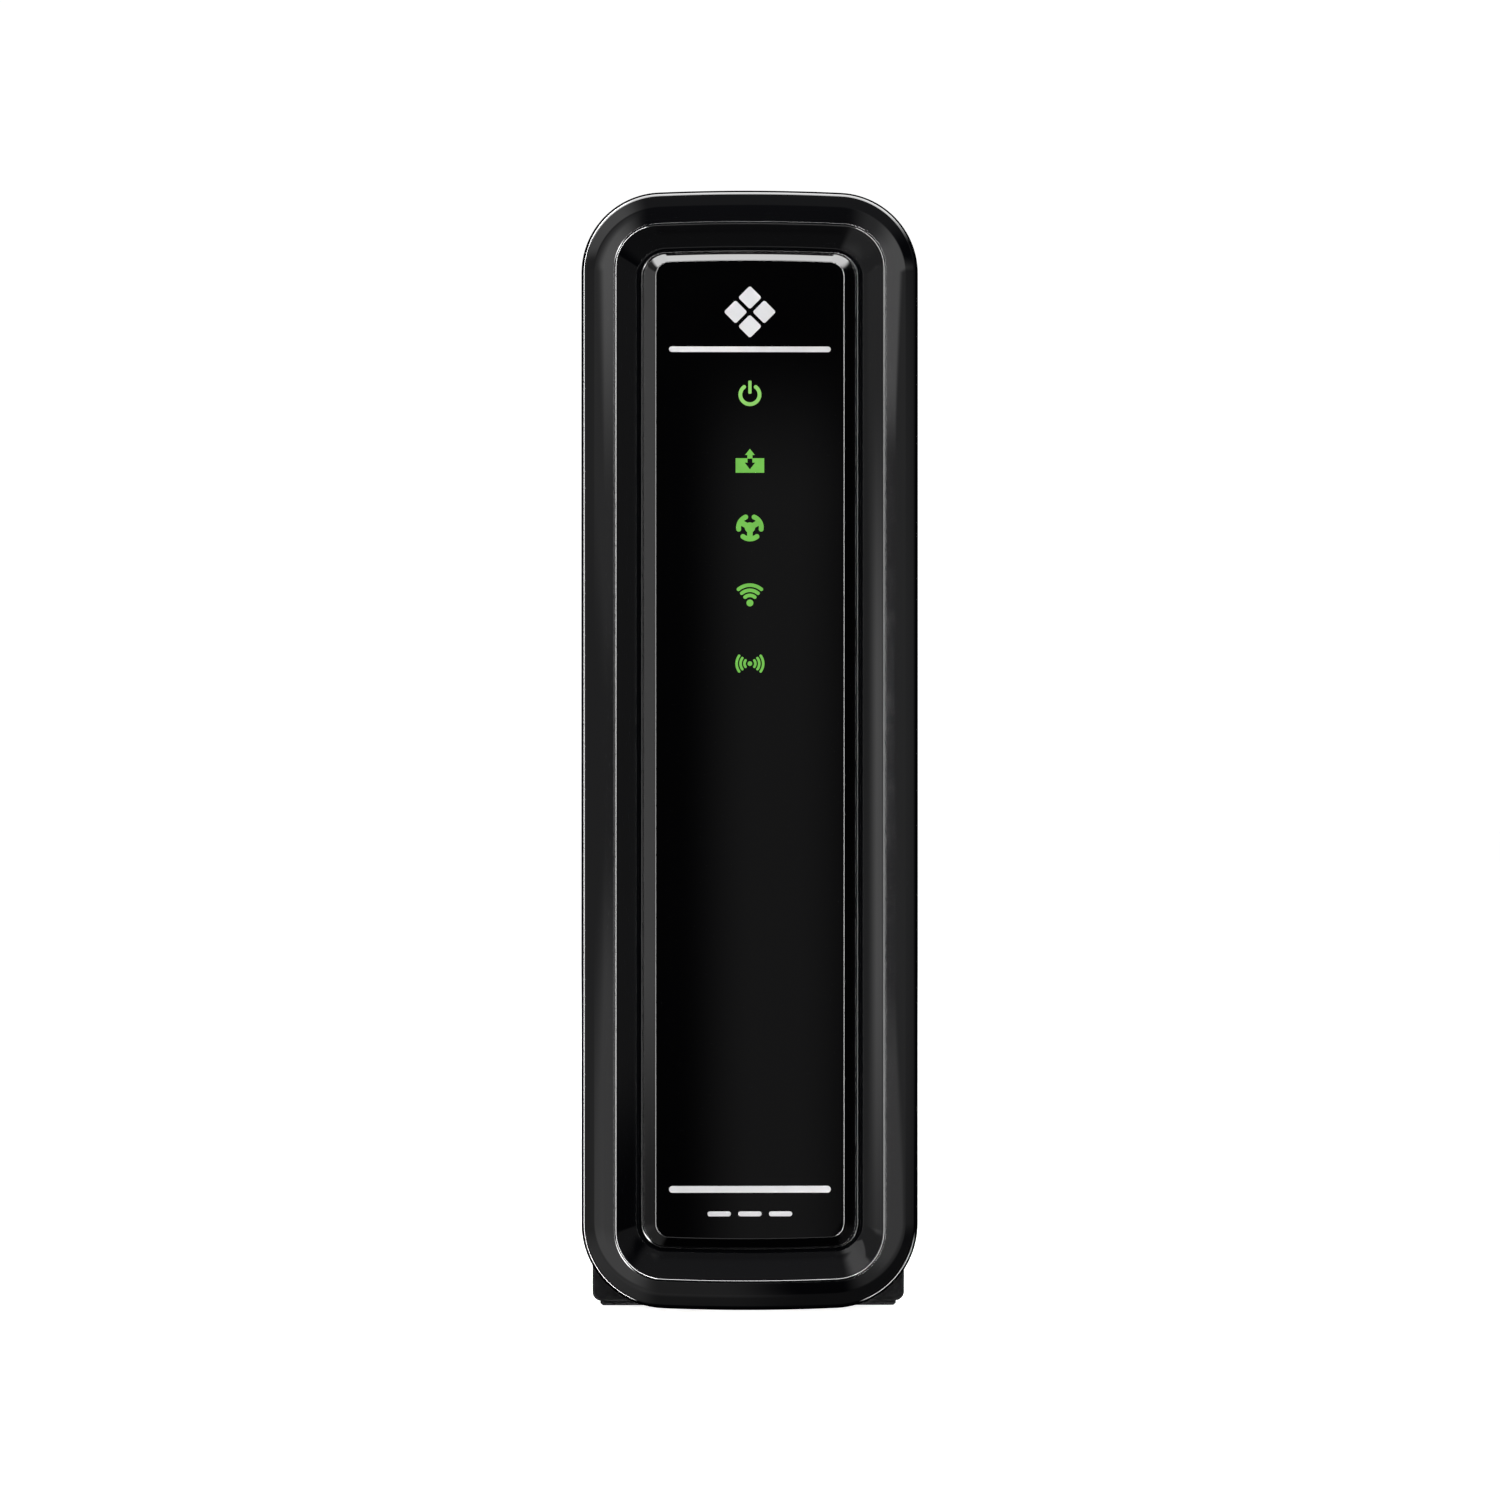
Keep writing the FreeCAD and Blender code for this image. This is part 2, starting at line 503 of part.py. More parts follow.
def rear_panel():
    half_w = WINDOW_HALF_W + PANEL_LAP
    plate = rounded_block(-half_w, half_w, PANEL_FRONT_Y, PANEL_REAR_Y, WINDOW_BOTTOM - PANEL_LAP,
                          WINDOW_TOP + PANEL_LAP, 2.0)
    y0, y1, gap = PANEL_FRONT_Y - 5, PANEL_REAR_Y + 5, PORT_GAP
    half = POWER_HALF_Z + gap
    cuts = [
        rounded_block(-5.7 - gap, 1.3 + gap, y0, y1, PAIR_Z - 6 - gap, PAIR_Z + 6 + gap, 1.5 + gap),
        cylinder(PINHOLE_R, SWITCH_X, y0, RESET_Z, y1 - y0),
        cylinder(COAX_BARREL_R + 0.3, COAX_X, y0, COAX_Z, y1 - y0),
        rounded_block(BOARD_X1 - gap, POWER_X1 + gap, y0, y1, POWER_Z - half, POWER_Z + half, 0.8),
    ]
    for z in JACK_Z:
        half = JACK_HALF_Z + gap
        cuts.append(rounded_block(JACK_X[0] - gap, JACK_X[1] + gap, y0, y1, z - half, z + half, 0.3))
    return minus(plate, cuts)


def rubber_feet():
    feet = []
    for y0, y1 in FOOT_Y:
        foot = box(-FOOT_HALF_W, FOOT_HALF_W, y0, y1, 0, CASE_BOTTOM + FOOT_POCKET)
        feet.append(foot.makeChamfer(0.4, edges_at(foot, "Z", 0)))
    return feet


def rating_label():
    return prism_z(rectangle(-LABEL_HALF_W, LABEL_HALF_W, *LABEL_Y, 1.5), CASE_BOTTOM - LABEL_T, CASE_BOTTOM)


def screw(head_r, head_h, shank_r, length):
    """Pan-head screw along -X from a seat at x = 0, with a cross recess."""
    head = cylinder(head_r, 0, 0, 0, head_h, ALONG_X)
    head = head.makeFillet(head_h * 0.45, edges_at(head, "X", head_h)[:1])
    shank = cylinder(shank_r, -length, 0, 0, length + 0.1, ALONG_X)
    arm, depth = head_r * 0.6, head_h * 0.6
    cross = [box(head_h - depth, head_h + 1, -0.35, 0.35, -arm, arm),
             box(head_h - depth, head_h + 1, -arm, arm, -0.35, 0.35)]
    return minus(union([head, shank]), cross)


def housing_screws():
    return [placed(screw(2.8, 2.0, 1.4, 10.0), SCREW_SEAT_X + 0.02, y, z) for y, z in CASE_SCREWS]


# ---- circuit board ----
def main_board():
    board = prism_x(rectangle(*BOARD_Y, *BOARD_Z, 1.5), BOARD_X0, BOARD_X1)
    return minus(board, [cylinder(1.6, BOARD_X0 - 1, y, z, 4, ALONG_X) for y, z in BOARD_SCREWS])


def board_screws():
    return [placed(screw(2.6, 1.6, 1.2, 8.0), BOARD_X1 + 0.02, y, z) for y, z in BOARD_SCREWS]


def chip(y, z, size_y, size_z, height):
    """Package on the board with a bevelled top edge."""
    body = box(BOARD_X1, BOARD_X1 + height, y - size_y / 2, y + size_y / 2, z - size_z / 2, z + size_z / 2)
    return body.makeChamfer(min(0.2, height * 0.2), edges_at(body, "X", BOARD_X1 + height))


def shield_can(y, z, size_y, size_z, height):
    """Sheet-metal shield, open towards the board, with rows of small round vents."""
    y_range, z_range = (y - size_y / 2, y + size_y / 2), (z - size_z / 2, z + size_z / 2)
    top = BOARD_X1 + height
    shell = box(BOARD_X1, top, *y_range, *z_range)
    hollow = grown((BOARD_X1 - 1, top), y_range, z_range, -SHIELD_T)
    across, down = int(size_y / 3.6), int(size_z / 3.6)
    vents = [cylinder(0.9, top - 1, y_range[0] + size_y * (i + 1) / (across + 1),
                      z_range[0] + size_z * (j + 1) / (down + 1), 2, ALONG_X)
             for i in range(across) for j in range(down)]
    return minus(shell, [hollow] + vents)


def pin_places():
    """(y, z) of the heat sink's two push pins."""
    y, z = MAIN_CHIP[:2]
    return [(y - 14, z + 14), (y + 14, z - 14)]


def sink_floor():
    return BOARD_X1 + MAIN_CHIP[4] + PAD_T


def thermal_pad():
    y, z = MAIN_CHIP[:2]
    return box(BOARD_X1 + MAIN_CHIP[4], sink_floor(), y - 10, y + 10, z - 10, z + 10)


def main_heatsink():
    """Base with two banks of fins over the main chip."""
    y, z = MAIN_CHIP[:2]
    x0, low, high = sink_floor(), z - SINK_HALF, z + SINK_HALF
    fin_t = 1.1
    pitch = (2 * SINK_HALF - fin_t) / (SINK_FINS - 1)
    base = box(x0, x0 + SINK_BASE, y - SINK_HALF, y + SINK_HALF, low, high)
    starts = [y - SINK_HALF + i * pitch for i in range(SINK_FINS)]
    fins = [box(x0 + SINK_BASE - 0.1, x0 + SINK_H, s, s + fin_t, low, high) for s in starts]
    cuts = [box(x0 + SINK_BASE, x0 + SINK_H + 1, y - SINK_HALF - 1, y + SINK_HALF + 1, z - 2, z + 2)]
    for place in pin_places():
        cuts.append(cylinder(1.8, x0 - 1, *place, 5, ALONG_X))
        cuts.append(cylinder(3.6, x0 + SINK_BASE, *place, SINK_H, ALONG_X))
    return minus(union([base] + fins), cuts)


def heatsink_pins():
    x0 = sink_floor() + SINK_BASE + 0.05
    pins = []
    for place in pin_places():
        shaft = cylinder(1.6, BOARD_X1 + 0.02, *place, x0 + 1 - BOARD_X1, ALONG_X)
        pins.append(union([shaft, cylinder(3.0, x0, *place, 1.5, ALONG_X)]))
    return pins


def capacitor(y, z, r, height):
    """Upright can with a rounded top and a rolled groove."""
    body = cylinder(r, BOARD_X1, y, z, height, ALONG_X)
    body = body.makeFillet(0.5, edges_at(body, "X", BOARD_X1 + height)[:1])
    return body.cut(Part.makeTorus(r + 0.25, 0.5, V(BOARD_X1 + 1.6, y, z), V(*ALONG_X)))


def status_leds():
    return [box(BOARD_X1, BOARD_X1 + 1.4, -40.6, -39.0, z - 1.5, z + 1.5) for z in ICON_Z.values()]


# ---- push switches and what presses them ----
def push_switch(z):
    """Side-acting switch body with a bore for its plunger."""
    body = rounded_block(BOARD_X1, BOARD_X1 + 4.6, 47.5, 51.8, z - 3.1, z + 3.1, 0.3)
    return minus(body, [cylinder(PLUNGER_R + 0.15, SWITCH_X, PLUNGER_FOOT_Y - 0.7, z, 3)])


def round_rod(r, x, z, y0, y1, tip_r):
    """Rod along Y with a rounded far end."""
    rod = cylinder(r, x, y0, z, y1 - y0)
    return rod.makeFillet(tip_r, edges_at(rod, "Y", y1)[:1])


def plunger(z, tip_y):
    return round_rod(PLUNGER_R, SWITCH_X, z, PLUNGER_FOOT_Y, tip_y, 0.3)


def pairing_button():
    """Button cap with a lip that keeps it behind the rear panel."""
    cap = rounded_block(-5.7, 1.3, *CAP_Y, PAIR_Z - 6, PAIR_Z + 6, 1.5)
    cap = cap.makeFillet(0.5, edges_at(cap, "Y", CAP_Y[1]))
    lip = rounded_block(-6.7, 2.3, CAP_Y[0], PANEL_FRONT_Y - 0.06, PAIR_Z - 7, PAIR_Z + 7, 2.0)
    return union([cap, lip])


# ---- network sockets ----
def jack_lamp_places(z):
    """(z range) of the two lamps beside a socket's latch."""
    return [ordered(z + side * 4.32, z + side * 7.08) for side in (-1, 1)]


def ethernet_jack(z):
    """Moulded 8-way socket, contacts on the board side, latch slot away from it."""
    inner = SHIELD_T + JACK_FIT
    half, y1 = JACK_HALF_Z - inner, PORT_FACE_Y
    body = box(JACK_X[0] + inner, JACK_X[1] - inner, y1 - JACK_DEPTH + inner, y1, z - half, z + half)
    cuts = [
        box(-6.6, 0.9, y1 - 14.5, y1 + 1, z - 5.95, z + 5.95),
        box(0.8, 2.7, y1 - 12, y1 + 1, z - 3.1, z + 3.1),
        box(2.6, 3.5, y1 - 12, y1 + 1, z - 1.7, z + 1.7),
    ]
    cuts += [grown((2.02, 4.38), (y1 - 4.9, y1 + 1), span, JACK_FIT) for span in jack_lamp_places(z)]
    return minus(body, cuts)


def jack_shield(z):
    """Folded metal shell round a socket, open at the front and towards the board."""
    z_range = (z - JACK_HALF_Z, z + JACK_HALF_Z)
    y0 = PORT_FACE_Y - JACK_DEPTH
    shell = box(*JACK_X, y0, PORT_FACE_Y - 0.05, *z_range)
    return minus(shell, [grown((JACK_X[0] - 1, JACK_X[1]), (y0, PORT_FACE_Y + 1), z_range, -SHIELD_T)])


def jack_contacts(z):
    """Eight spring wires that slope back into the socket."""
    y = PORT_FACE_Y
    wire = [(-6.55, y - 2.6, 0), (-6.1, y - 2.6, 0), (-4.2, y - 11.0, 0),
            (-4.2, y - 14.4, 0), (-4.7, y - 14.4, 0), (-4.7, y - 11.3, 0)]
    middles = [z + (i - 3.5) * 1.02 for i in range(8)]
    return [prism_z(wire, middle - 0.18, middle + 0.18) for middle in middles]


def jack_lamps(z):
    return [box(2.02, 4.38, PORT_FACE_Y - 4.9, PORT_FACE_Y - 0.1, *span) for span in jack_lamp_places(z)]


# ---- coax port: block on the board, barrel through the panel, threaded end outside ----
def coax_port():
    block = rounded_block(BOARD_X1, COAX_X + 6.2, 40, 50.5, COAX_Z - 6.2, COAX_Z + 6.2, 0.5)
    barrel = cylinder(COAX_BARREL_R, COAX_X, 50, COAX_Z, 7.6)
    thread = cylinder(COAX_THREAD_R, COAX_X, 57, COAX_Z, COAX_TIP_Y - 57)
    thread = thread.makeChamfer(0.35, edges_at(thread, "Y", COAX_TIP_Y)[:1])
    return minus(union([block, barrel, thread]), [cylinder(COAX_BORE_R, COAX_X, 45, COAX_Z, 30)])


def coax_insulator():
    plug = cylinder(COAX_BORE_R - 0.02, COAX_X, 45.02, COAX_Z, 65.7 - 45.02)
    return minus(plug, [cylinder(0.95, COAX_X, 44, COAX_Z, 30)])


def coax_contact():
    """Split tube that takes the cable's centre wire."""
    tube = cylinder(0.93, COAX_X, 45.1, COAX_Z, 64.6 - 45.1)
    split = box(COAX_X - 2, COAX_X + 2, 60, 70, COAX_Z - 0.1, COAX_Z + 0.1)
    return minus(tube, [cylinder(0.5, COAX_X, 55, COAX_Z, 12), split])


# ---- power socket ----
def power_jack():
    x, z = POWER_X, POWER_Z
    body = rounded_block(BOARD_X1, POWER_X1, 43.5, PORT_FACE_Y, z - POWER_HALF_Z, z + POWER_HALF_Z, 0.6)
    flare = 0.6
    mouth = V(x, PORT_FACE_Y - flare + 0.02, z)
    return minus(body, [
        cylinder(POWER_BORE_R, x, POWER_BORE_FLOOR_Y, z, 12),
        Part.makeCone(POWER_BORE_R, POWER_BORE_R + flare, flare, mouth, V(*ALONG_Y)),
        box(x + 2.4, x + 4.1, 46, 54, z - 1.3, z + 1.3),
        cylinder(POWER_PIN_ROOT_R + 0.02, x, 46, z, 3),
    ])


def power_jack_pin():
    """Centre pin with a thicker root that is pressed into the jack's body."""
    y0, y1 = POWER_PIN_Y
    root = cylinder(POWER_PIN_ROOT_R, POWER_X, y0, POWER_Z, POWER_BORE_FLOOR_Y - y0)
    return union([round_rod(POWER_PIN_R, POWER_X, POWER_Z, y0, y1, 0.5), root])


def power_jack_spring():
    """Leaf contact that bears on the plug's sleeve."""
    x = POWER_X + 3.6
    leaf = [(x, 46.1, 0), (x + 0.35, 46.1, 0), (x + 0.35, 49.0, 0), (x - 0.25, 51.6, 0), (x + 0.2, 53.8, 0),
            (x - 0.15, 53.8, 0), (x - 0.65, 51.6, 0), (x, 48.8, 0)]
    return prism_z(leaf, POWER_Z - 1.1, POWER_Z + 1.1)


# ---- Wi-Fi aerials and their leads ----
def wifi_antennas():
    return [grown(*place, 0) for place in aerial_places()]


def lead(route):
    """Round lead along a route: straight runs joined by arcs as large as the runs allow."""
    points = [V(*p) for p in route]
    edges = []
    here = points[0]
    for a, b, c in zip(points, points[1:], points[2:]):
        back, on = a - b, c - b
        turn = math.pi - back.getAngle(on)
        reach = 0.45 * min(back.Length, on.Length)
        radius = reach / math.tan(turn / 2)
        back.normalize()
        on.normalize()
        start, end = b + back * reach, b + on * reach
        middle = b + (back + on).normalize() * (radius / math.cos(turn / 2) - radius)
        edges.append(Part.LineSegment(here, start).toShape())
        edges.append(Part.Arc(start, middle, end).toShape())
        here = end
        print("lead radius", round(radius, 1))
    edges.append(Part.LineSegment(here, points[-1]).toShape())
    spine = Part.Wire(edges)
    section = Part.Wire(Part.makeCircle(LEAD_R, points[0], points[1] - points[0]))
    tube = spine.makePipeShell([section], True, False)
    expected = math.pi * LEAD_R ** 2 * spine.Length
    print("lead volume over section times length", round(tube.Volume / expected, 4))
    return tube


def antenna_plugs():
    return [cylinder(1.3, BOARD_X1, y, z, 1.45, ALONG_X) for y, z in LEAD_PLUGS]


# ---- nodes ----
def case_nodes():
    icons = status_icons()
    return {
        "front_bezel": front_bezel(), "front_lens": front_lens(icons), "status_icons": icons,
        "light_baffle": light_baffle(), "light_guide": light_guide(),
        "left_housing": left_housing(), "right_housing": right_housing(), "rear_panel": rear_panel(),
        "rubber_feet": rubber_feet(), "rating_label": rating_label(), "housing_screws": housing_screws(),
        "wifi_antennas": wifi_antennas(), "antenna_leads": [lead(route) for route in LEAD_ROUTES],
        "antenna_plugs": antenna_plugs(),
    }


def board_nodes():
    return {
        "main_board": main_board(), "board_screws": board_screws(),
        "main_chip": chip(*MAIN_CHIP), "thermal_pad": thermal_pad(),
        "main_heatsink": main_heatsink(), "heatsink_pins": heatsink_pins(),
        "memory_chips": [chip(*c) for c in MEMORY_CHIPS], "wifi_chips": [chip(*c) for c in WIFI_CHIPS],
        "wifi_shields": [shield_can(*c) for c in WIFI_SHIELDS], "tuner_shield": shield_can(*TUNER_SHIELD),
        "network_transformers": [chip(*c) for c in TRANSFORMERS],
        "crystal_cans": [chip(*c) for c in CRYSTALS],
        "capacitors": [capacitor(*c) for c in CAPACITORS], "inductors": [chip(*c) for c in INDUCTORS],
        "status_leds": status_leds(),
    }


def port_nodes():
    nodes = {f"ethernet_jack_{i + 1}": ethernet_jack(z) for i, z in enumerate(JACK_Z)}
    nodes.update({
        "ethernet_shields": [jack_shield(z) for z in JACK_Z],
        "ethernet_contacts": [wire for z in JACK_Z for wire in jack_contacts(z)],
        "ethernet_lamps": [lamp for z in JACK_Z for lamp in jack_lamps(z)],
        "coax_port": coax_port(), "coax_insulator": coax_insulator(), "coax_contact": coax_contact(),
        "power_jack": power_jack(), "power_jack_pin": power_jack_pin(),
        "power_jack_spring": power_jack_spring(),
        "pairing_switch": push_switch(PAIR_Z), "pairing_switch_plunger": plunger(PAIR_Z, CAP_Y[0]),
        "pairing_button": pairing_button(),
        "reset_switch": push_switch(RESET_Z), "reset_plunger": plunger(RESET_Z, 54.8),
    })
    return nodes


def save(name, shapes):
    """Writes one node: a solid, or several separate ones."""
    solids = [s for shape in (shapes if isinstance(shapes, list) else [shapes]) for s in shape.Solids]
    if not all(s.isValid() and s.Volume > 0 for s in solids):
        print("BAD SOLID in", name)
    whole = solids[0] if len(solids) == 1 else Part.makeCompound(solids)
    whole.exportStep(f"parts/{name}.step")
    print(name, len(solids), "solids", round(whole.Volume, 1), "mm3")


os.makedirs("parts", exist_ok=True)
for nodes in (case_nodes(), board_nodes(), port_nodes()):
    for name, shapes in nodes.items():
        save(name, shapes)
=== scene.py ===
import json
import math

import bmesh
import bpy
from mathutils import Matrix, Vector


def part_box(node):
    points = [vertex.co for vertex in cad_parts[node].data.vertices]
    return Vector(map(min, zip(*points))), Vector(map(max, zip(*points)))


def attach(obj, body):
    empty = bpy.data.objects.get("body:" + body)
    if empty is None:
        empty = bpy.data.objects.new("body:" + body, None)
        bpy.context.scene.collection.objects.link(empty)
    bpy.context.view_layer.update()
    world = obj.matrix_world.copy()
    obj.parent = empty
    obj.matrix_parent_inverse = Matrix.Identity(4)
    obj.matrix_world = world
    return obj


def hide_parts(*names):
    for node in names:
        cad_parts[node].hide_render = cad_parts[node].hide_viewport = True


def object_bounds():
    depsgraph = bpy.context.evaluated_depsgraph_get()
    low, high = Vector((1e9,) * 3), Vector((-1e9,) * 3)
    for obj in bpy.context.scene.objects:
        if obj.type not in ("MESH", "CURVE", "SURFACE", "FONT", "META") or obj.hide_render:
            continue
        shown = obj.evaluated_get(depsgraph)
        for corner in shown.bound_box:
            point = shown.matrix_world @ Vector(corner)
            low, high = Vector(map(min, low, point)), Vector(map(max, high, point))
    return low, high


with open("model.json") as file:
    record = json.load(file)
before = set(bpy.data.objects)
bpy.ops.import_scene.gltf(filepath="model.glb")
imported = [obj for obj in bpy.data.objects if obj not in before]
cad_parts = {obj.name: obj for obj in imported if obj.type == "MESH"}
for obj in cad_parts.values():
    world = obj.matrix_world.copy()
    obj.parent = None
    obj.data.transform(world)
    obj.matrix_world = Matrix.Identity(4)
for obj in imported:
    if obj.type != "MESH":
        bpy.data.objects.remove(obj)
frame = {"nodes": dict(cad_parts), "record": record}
cad_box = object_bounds()
NODES = frame["nodes"]
MM = 0.001

# Outlines and depths of the bezel and the lens, in millimetres. Outer sizes come from the frame. The flare
# line stands 1.9 mm further forward than in the CAD. The lens's edge and face differ by up to 0.15 mm.
# An outline is (half width, bottom, top, bottom corner radius, top corner radius, arch radius).
BEZEL_LOW, BEZEL_HIGH = (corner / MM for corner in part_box("front_bezel"))
LENS_LOW, LENS_HIGH = (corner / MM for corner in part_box("front_lens"))
BEZEL = (BEZEL_HIGH.x, BEZEL_LOW.z, BEZEL_HIGH.z, 13.9, 13.2, 330.0)
CREST = (21.8, 5.5, 177.95, 7.9, 6.8, 330.0)
LENS = (LENS_HIGH.x, LENS_LOW.z, LENS_HIGH.z, 4.0, 4.0, 330.0)
BEVEL = (17.3, 10.8, 173.35, 3.8, 3.8, 330.0)
FACE = (15.4, 12.3, 172.05, 2.3, 2.3, 330.0)
LENS_GAP = 0.15
FRONT_Y, SKIRT_REAR_Y = BEZEL_LOW.y, BEZEL_HIGH.y
SHOULDER_IN, SHOULDER_Y, FLARE_Y = 0.45, -65.08, -64.2
DISH_Y, LEDGE_Y, LEDGE_REAR_Y = -63.9, -63.0, -61.6
LENS_EDGE_Y, FACE_Y = -64.8, LENS_LOW.y
FACE_BEHIND_ICONS = 0.012
DISH_HOLLOW = 0.05       # the dish's middle lies this much below a straight slope
SLOPE_IN, SLOPE_Y, SLOPE_R = 2.9, -66.05, 9.0       # middle of the ring's outward slope
CREST_FLAT, CREST_DROP = 0.35, 0.02
LEDGE_IN, SKIRT_LEDGE_IN = 12.6, 7.6
HAUNCH_IN, HAUNCH_Y = 5.6, -63.4                    # the slope inside, between the ledge and the skirt
SKIRT_WALL, SKIRT_FRONT_Y = 2.0, -62.8
FACE_RIM = 1.0
MARKS_BEHIND_ICONS = 0.002
CORNER_STEPS, SIDE_STEPS = 26, 12


# ---- mesh helpers ----
def finish_mesh(bm, name, material, smooth=True):
    """Object from a bmesh with outward faces and shading that keeps flat faces flat."""
    bmesh.ops.remove_doubles(bm, verts=bm.verts, dist=1e-7)
    bmesh.ops.recalc_face_normals(bm, faces=bm.faces)
    for face in bm.faces:
        face.smooth = smooth
    mesh = bpy.data.meshes.new(name)
    bm.to_mesh(mesh)
    bm.free()
    mesh.materials.append(material)
    piece = bpy.data.objects.new(name, mesh)
    bpy.context.scene.collection.objects.link(piece)
    if smooth:
        shading = piece.modifiers.new("shading", "WEIGHTED_NORMAL")
        shading.keep_sharp = True
        shading.weight = 80
    return piece


def inset(outline, amount):
    half_w, bottom, top, r_bottom, r_top, arch = outline
    return (half_w - amount, bottom + amount, top - amount, r_bottom - amount, r_top - amount, arch - amount)


def between(one, other, share):
    return tuple(a + (b - a) * share for a, b in zip(one, other))


def outline_points(outline, y):
    """Points of an upright outline with four round corners and arched ends, anticlockwise."""
    half_w, bottom, top, r_bottom, r_top, arch = outline
    points = []
    for z_edge, up, r in ((top, 1, r_top), (bottom, -1, r_bottom)):
        run = half_w - r
        rise = math.sqrt((arch - r) ** 2 - run ** 2)
        arch_z = z_edge - up * arch
        corner_z = arch_z + up * rise
        turn = math.atan2(rise, run)
        sweep = math.pi - 2 * turn
        corner, edge = [], []
        for i in range(CORNER_STEPS + 1):
            angle = turn * i / CORNER_STEPS
            corner.append((run + r * math.cos(angle), corner_z + up * r * math.sin(angle)))
        for i in range(1, SIDE_STEPS):
            angle = turn + sweep * i / SIDE_STEPS
            edge.append((arch * math.cos(angle), arch_z + up * arch * math.sin(angle)))
        half = corner + edge + [(-x, z) for x, z in reversed(corner)]
        points += half if up > 0 else list(reversed(half))
    upper, lower = points[:len(points) // 2], points[len(points) // 2:]
    sides = []
    for (x0, z0), (x1, z1) in ((upper[-1], lower[0]), (lower[-1], upper[0])):
        sides.append([(x0 + (x1 - x0) * i / SIDE_STEPS, z0 + (z1 - z0) * i / SIDE_STEPS)
                      for i in range(1, SIDE_STEPS)])
    return [Vector((x, y, z)) * MM for x, z in upper + sides[0] + lower + sides[1]]


def rounded_levels(corners):
    """Levels (outline, y) through corners (outline, y, radius, steps), each rounded in width and depth."""
    stations = [tuple(outline) + (y,) for outline, y, _, _ in corners]
    levels = []
    for i, (outline, y, radius, steps) in enumerate(corners):
        here = stations[i]
        if radius == 0:
            levels.append((outline, y))
            continue
        before, after = stations[i - 1], stations[(i + 1) % len(stations)]
        into = [a - b for a, b in zip(here, before)]
        out = [a - b for a, b in zip(after, here)]
        into_size, out_size = (math.hypot(v[0], v[-1]) for v in (into, out))
        into = [a / into_size for a in into]
        out = [a / out_size for a in out]
        cosine = into[0] * out[0] + into[-1] * out[-1]
        turn = math.acos(max(-1.0, min(1.0, cosine)))
        tangent = radius * math.tan(turn / 2)
        for step in range(steps + 1):
            angle = turn * step / steps
            along = radius * math.sin(angle) - tangent
            across = radius * (1 - math.cos(angle)) / math.sin(turn)
            ahead = along - across * math.cos(turn)
            point = [h + u * ahead + w * across for h, u, w in zip(here, into, out)]
            levels.append((tuple(point[:-1]), point[-1]))
    return levels


def skin(levels, closed):
    """Bmesh of faces between successive levels. A closed one is a ring, an open one gets end caps."""
    bm = bmesh.new()
    loops = [[bm.verts.new(p) for p in outline_points(outline, y)] for outline, y in levels]
    pairs = list(zip(loops, loops[1:]))
    if closed:
        pairs.append((loops[-1], loops[0]))
    else:
        for loop in (loops[0], loops[-1]):
            bm.faces.new(loop)
    for lower, upper in pairs:
        for i in range(len(lower)):
            j = (i + 1) % len(lower)
            bm.faces.new((lower[i], lower[j], upper[j], upper[i]))
    return bm


# ---- materials ----
class Nodes:
    """Small helper round one material's node tree, in object coordinates."""

    def __init__(self, name):
        self.material = bpy.data.materials.new(name)
        self.material.use_nodes = True
        self.tree = self.material.node_tree
        self.shader = self.tree.nodes["Principled BSDF"]
        self.place = self.tree.nodes.new("ShaderNodeTexCoord").outputs["Object"]

    def add(self, kind, **settings):
        node = self.tree.nodes.new("ShaderNode" + kind)
        for key, value in settings.items():
            if hasattr(node, key):
                setattr(node, key, value)
            else:
                node.inputs[key].default_value = value
        return node

    def link(self, source, target):
        self.tree.links.new(source, target)

    def set(self, **values):
        for key, value in values.items():
            self.shader.inputs[key.replace("_", " ")].default_value = value

    def stretched(self, scale):
        mapping = self.add("Mapping")
        mapping.inputs["Scale"].default_value = scale
        self.link(self.place, mapping.inputs["Vector"])
        return mapping.outputs["Vector"]

    def flattened(self, across, up, scale):
        """Coordinates of a flat face: two of the object's axes as X and Y."""
        axes, flat = self.add("SeparateXYZ"), self.add("CombineXYZ")
        self.link(self.stretched((scale,) * 3), axes.inputs["Vector"])
        self.link(axes.outputs[across], flat.inputs["X"])
        self.link(axes.outputs[up], flat.inputs["Y"])
        return flat.outputs["Vector"]

    def noise(self, scale, detail=3.0, where=None):
        noise = self.add("TexNoise", Scale=scale, Detail=detail)
        self.link(where or self.place, noise.inputs["Vector"])
        return noise.outputs["Fac"]

    def spread(self, factor, low, high, start=0.3, end=0.7):
        """A factor mapped to the range low to high."""
        spread = self.add("MapRange")
        for key, value in (("From Min", start), ("From Max", end), ("To Min", low), ("To Max", high)):
            spread.inputs[key].default_value = value
        self.link(factor, spread.inputs["Value"])
        return spread.outputs["Result"]

    def blend(self, factor, dark, light, start=0.35, end=0.65):
        ramp = self.add("ValToRGB")
        for stop, at, colour in zip(ramp.color_ramp.elements, (start, end), (dark, light)):
            stop.position = at
            stop.color = (*colour, 1)
        self.link(factor, ramp.inputs["Fac"])
        return ramp.outputs["Color"]

    def bump(self, height, distance, strength=1.0):
        bump = self.add("Bump", Strength=strength, Distance=distance)
        self.link(height, bump.inputs["Height"])
        self.link(bump.outputs["Normal"], self.shader.inputs["Normal"])


def scaled(colour, by):
    return tuple(c * by for c in colour)


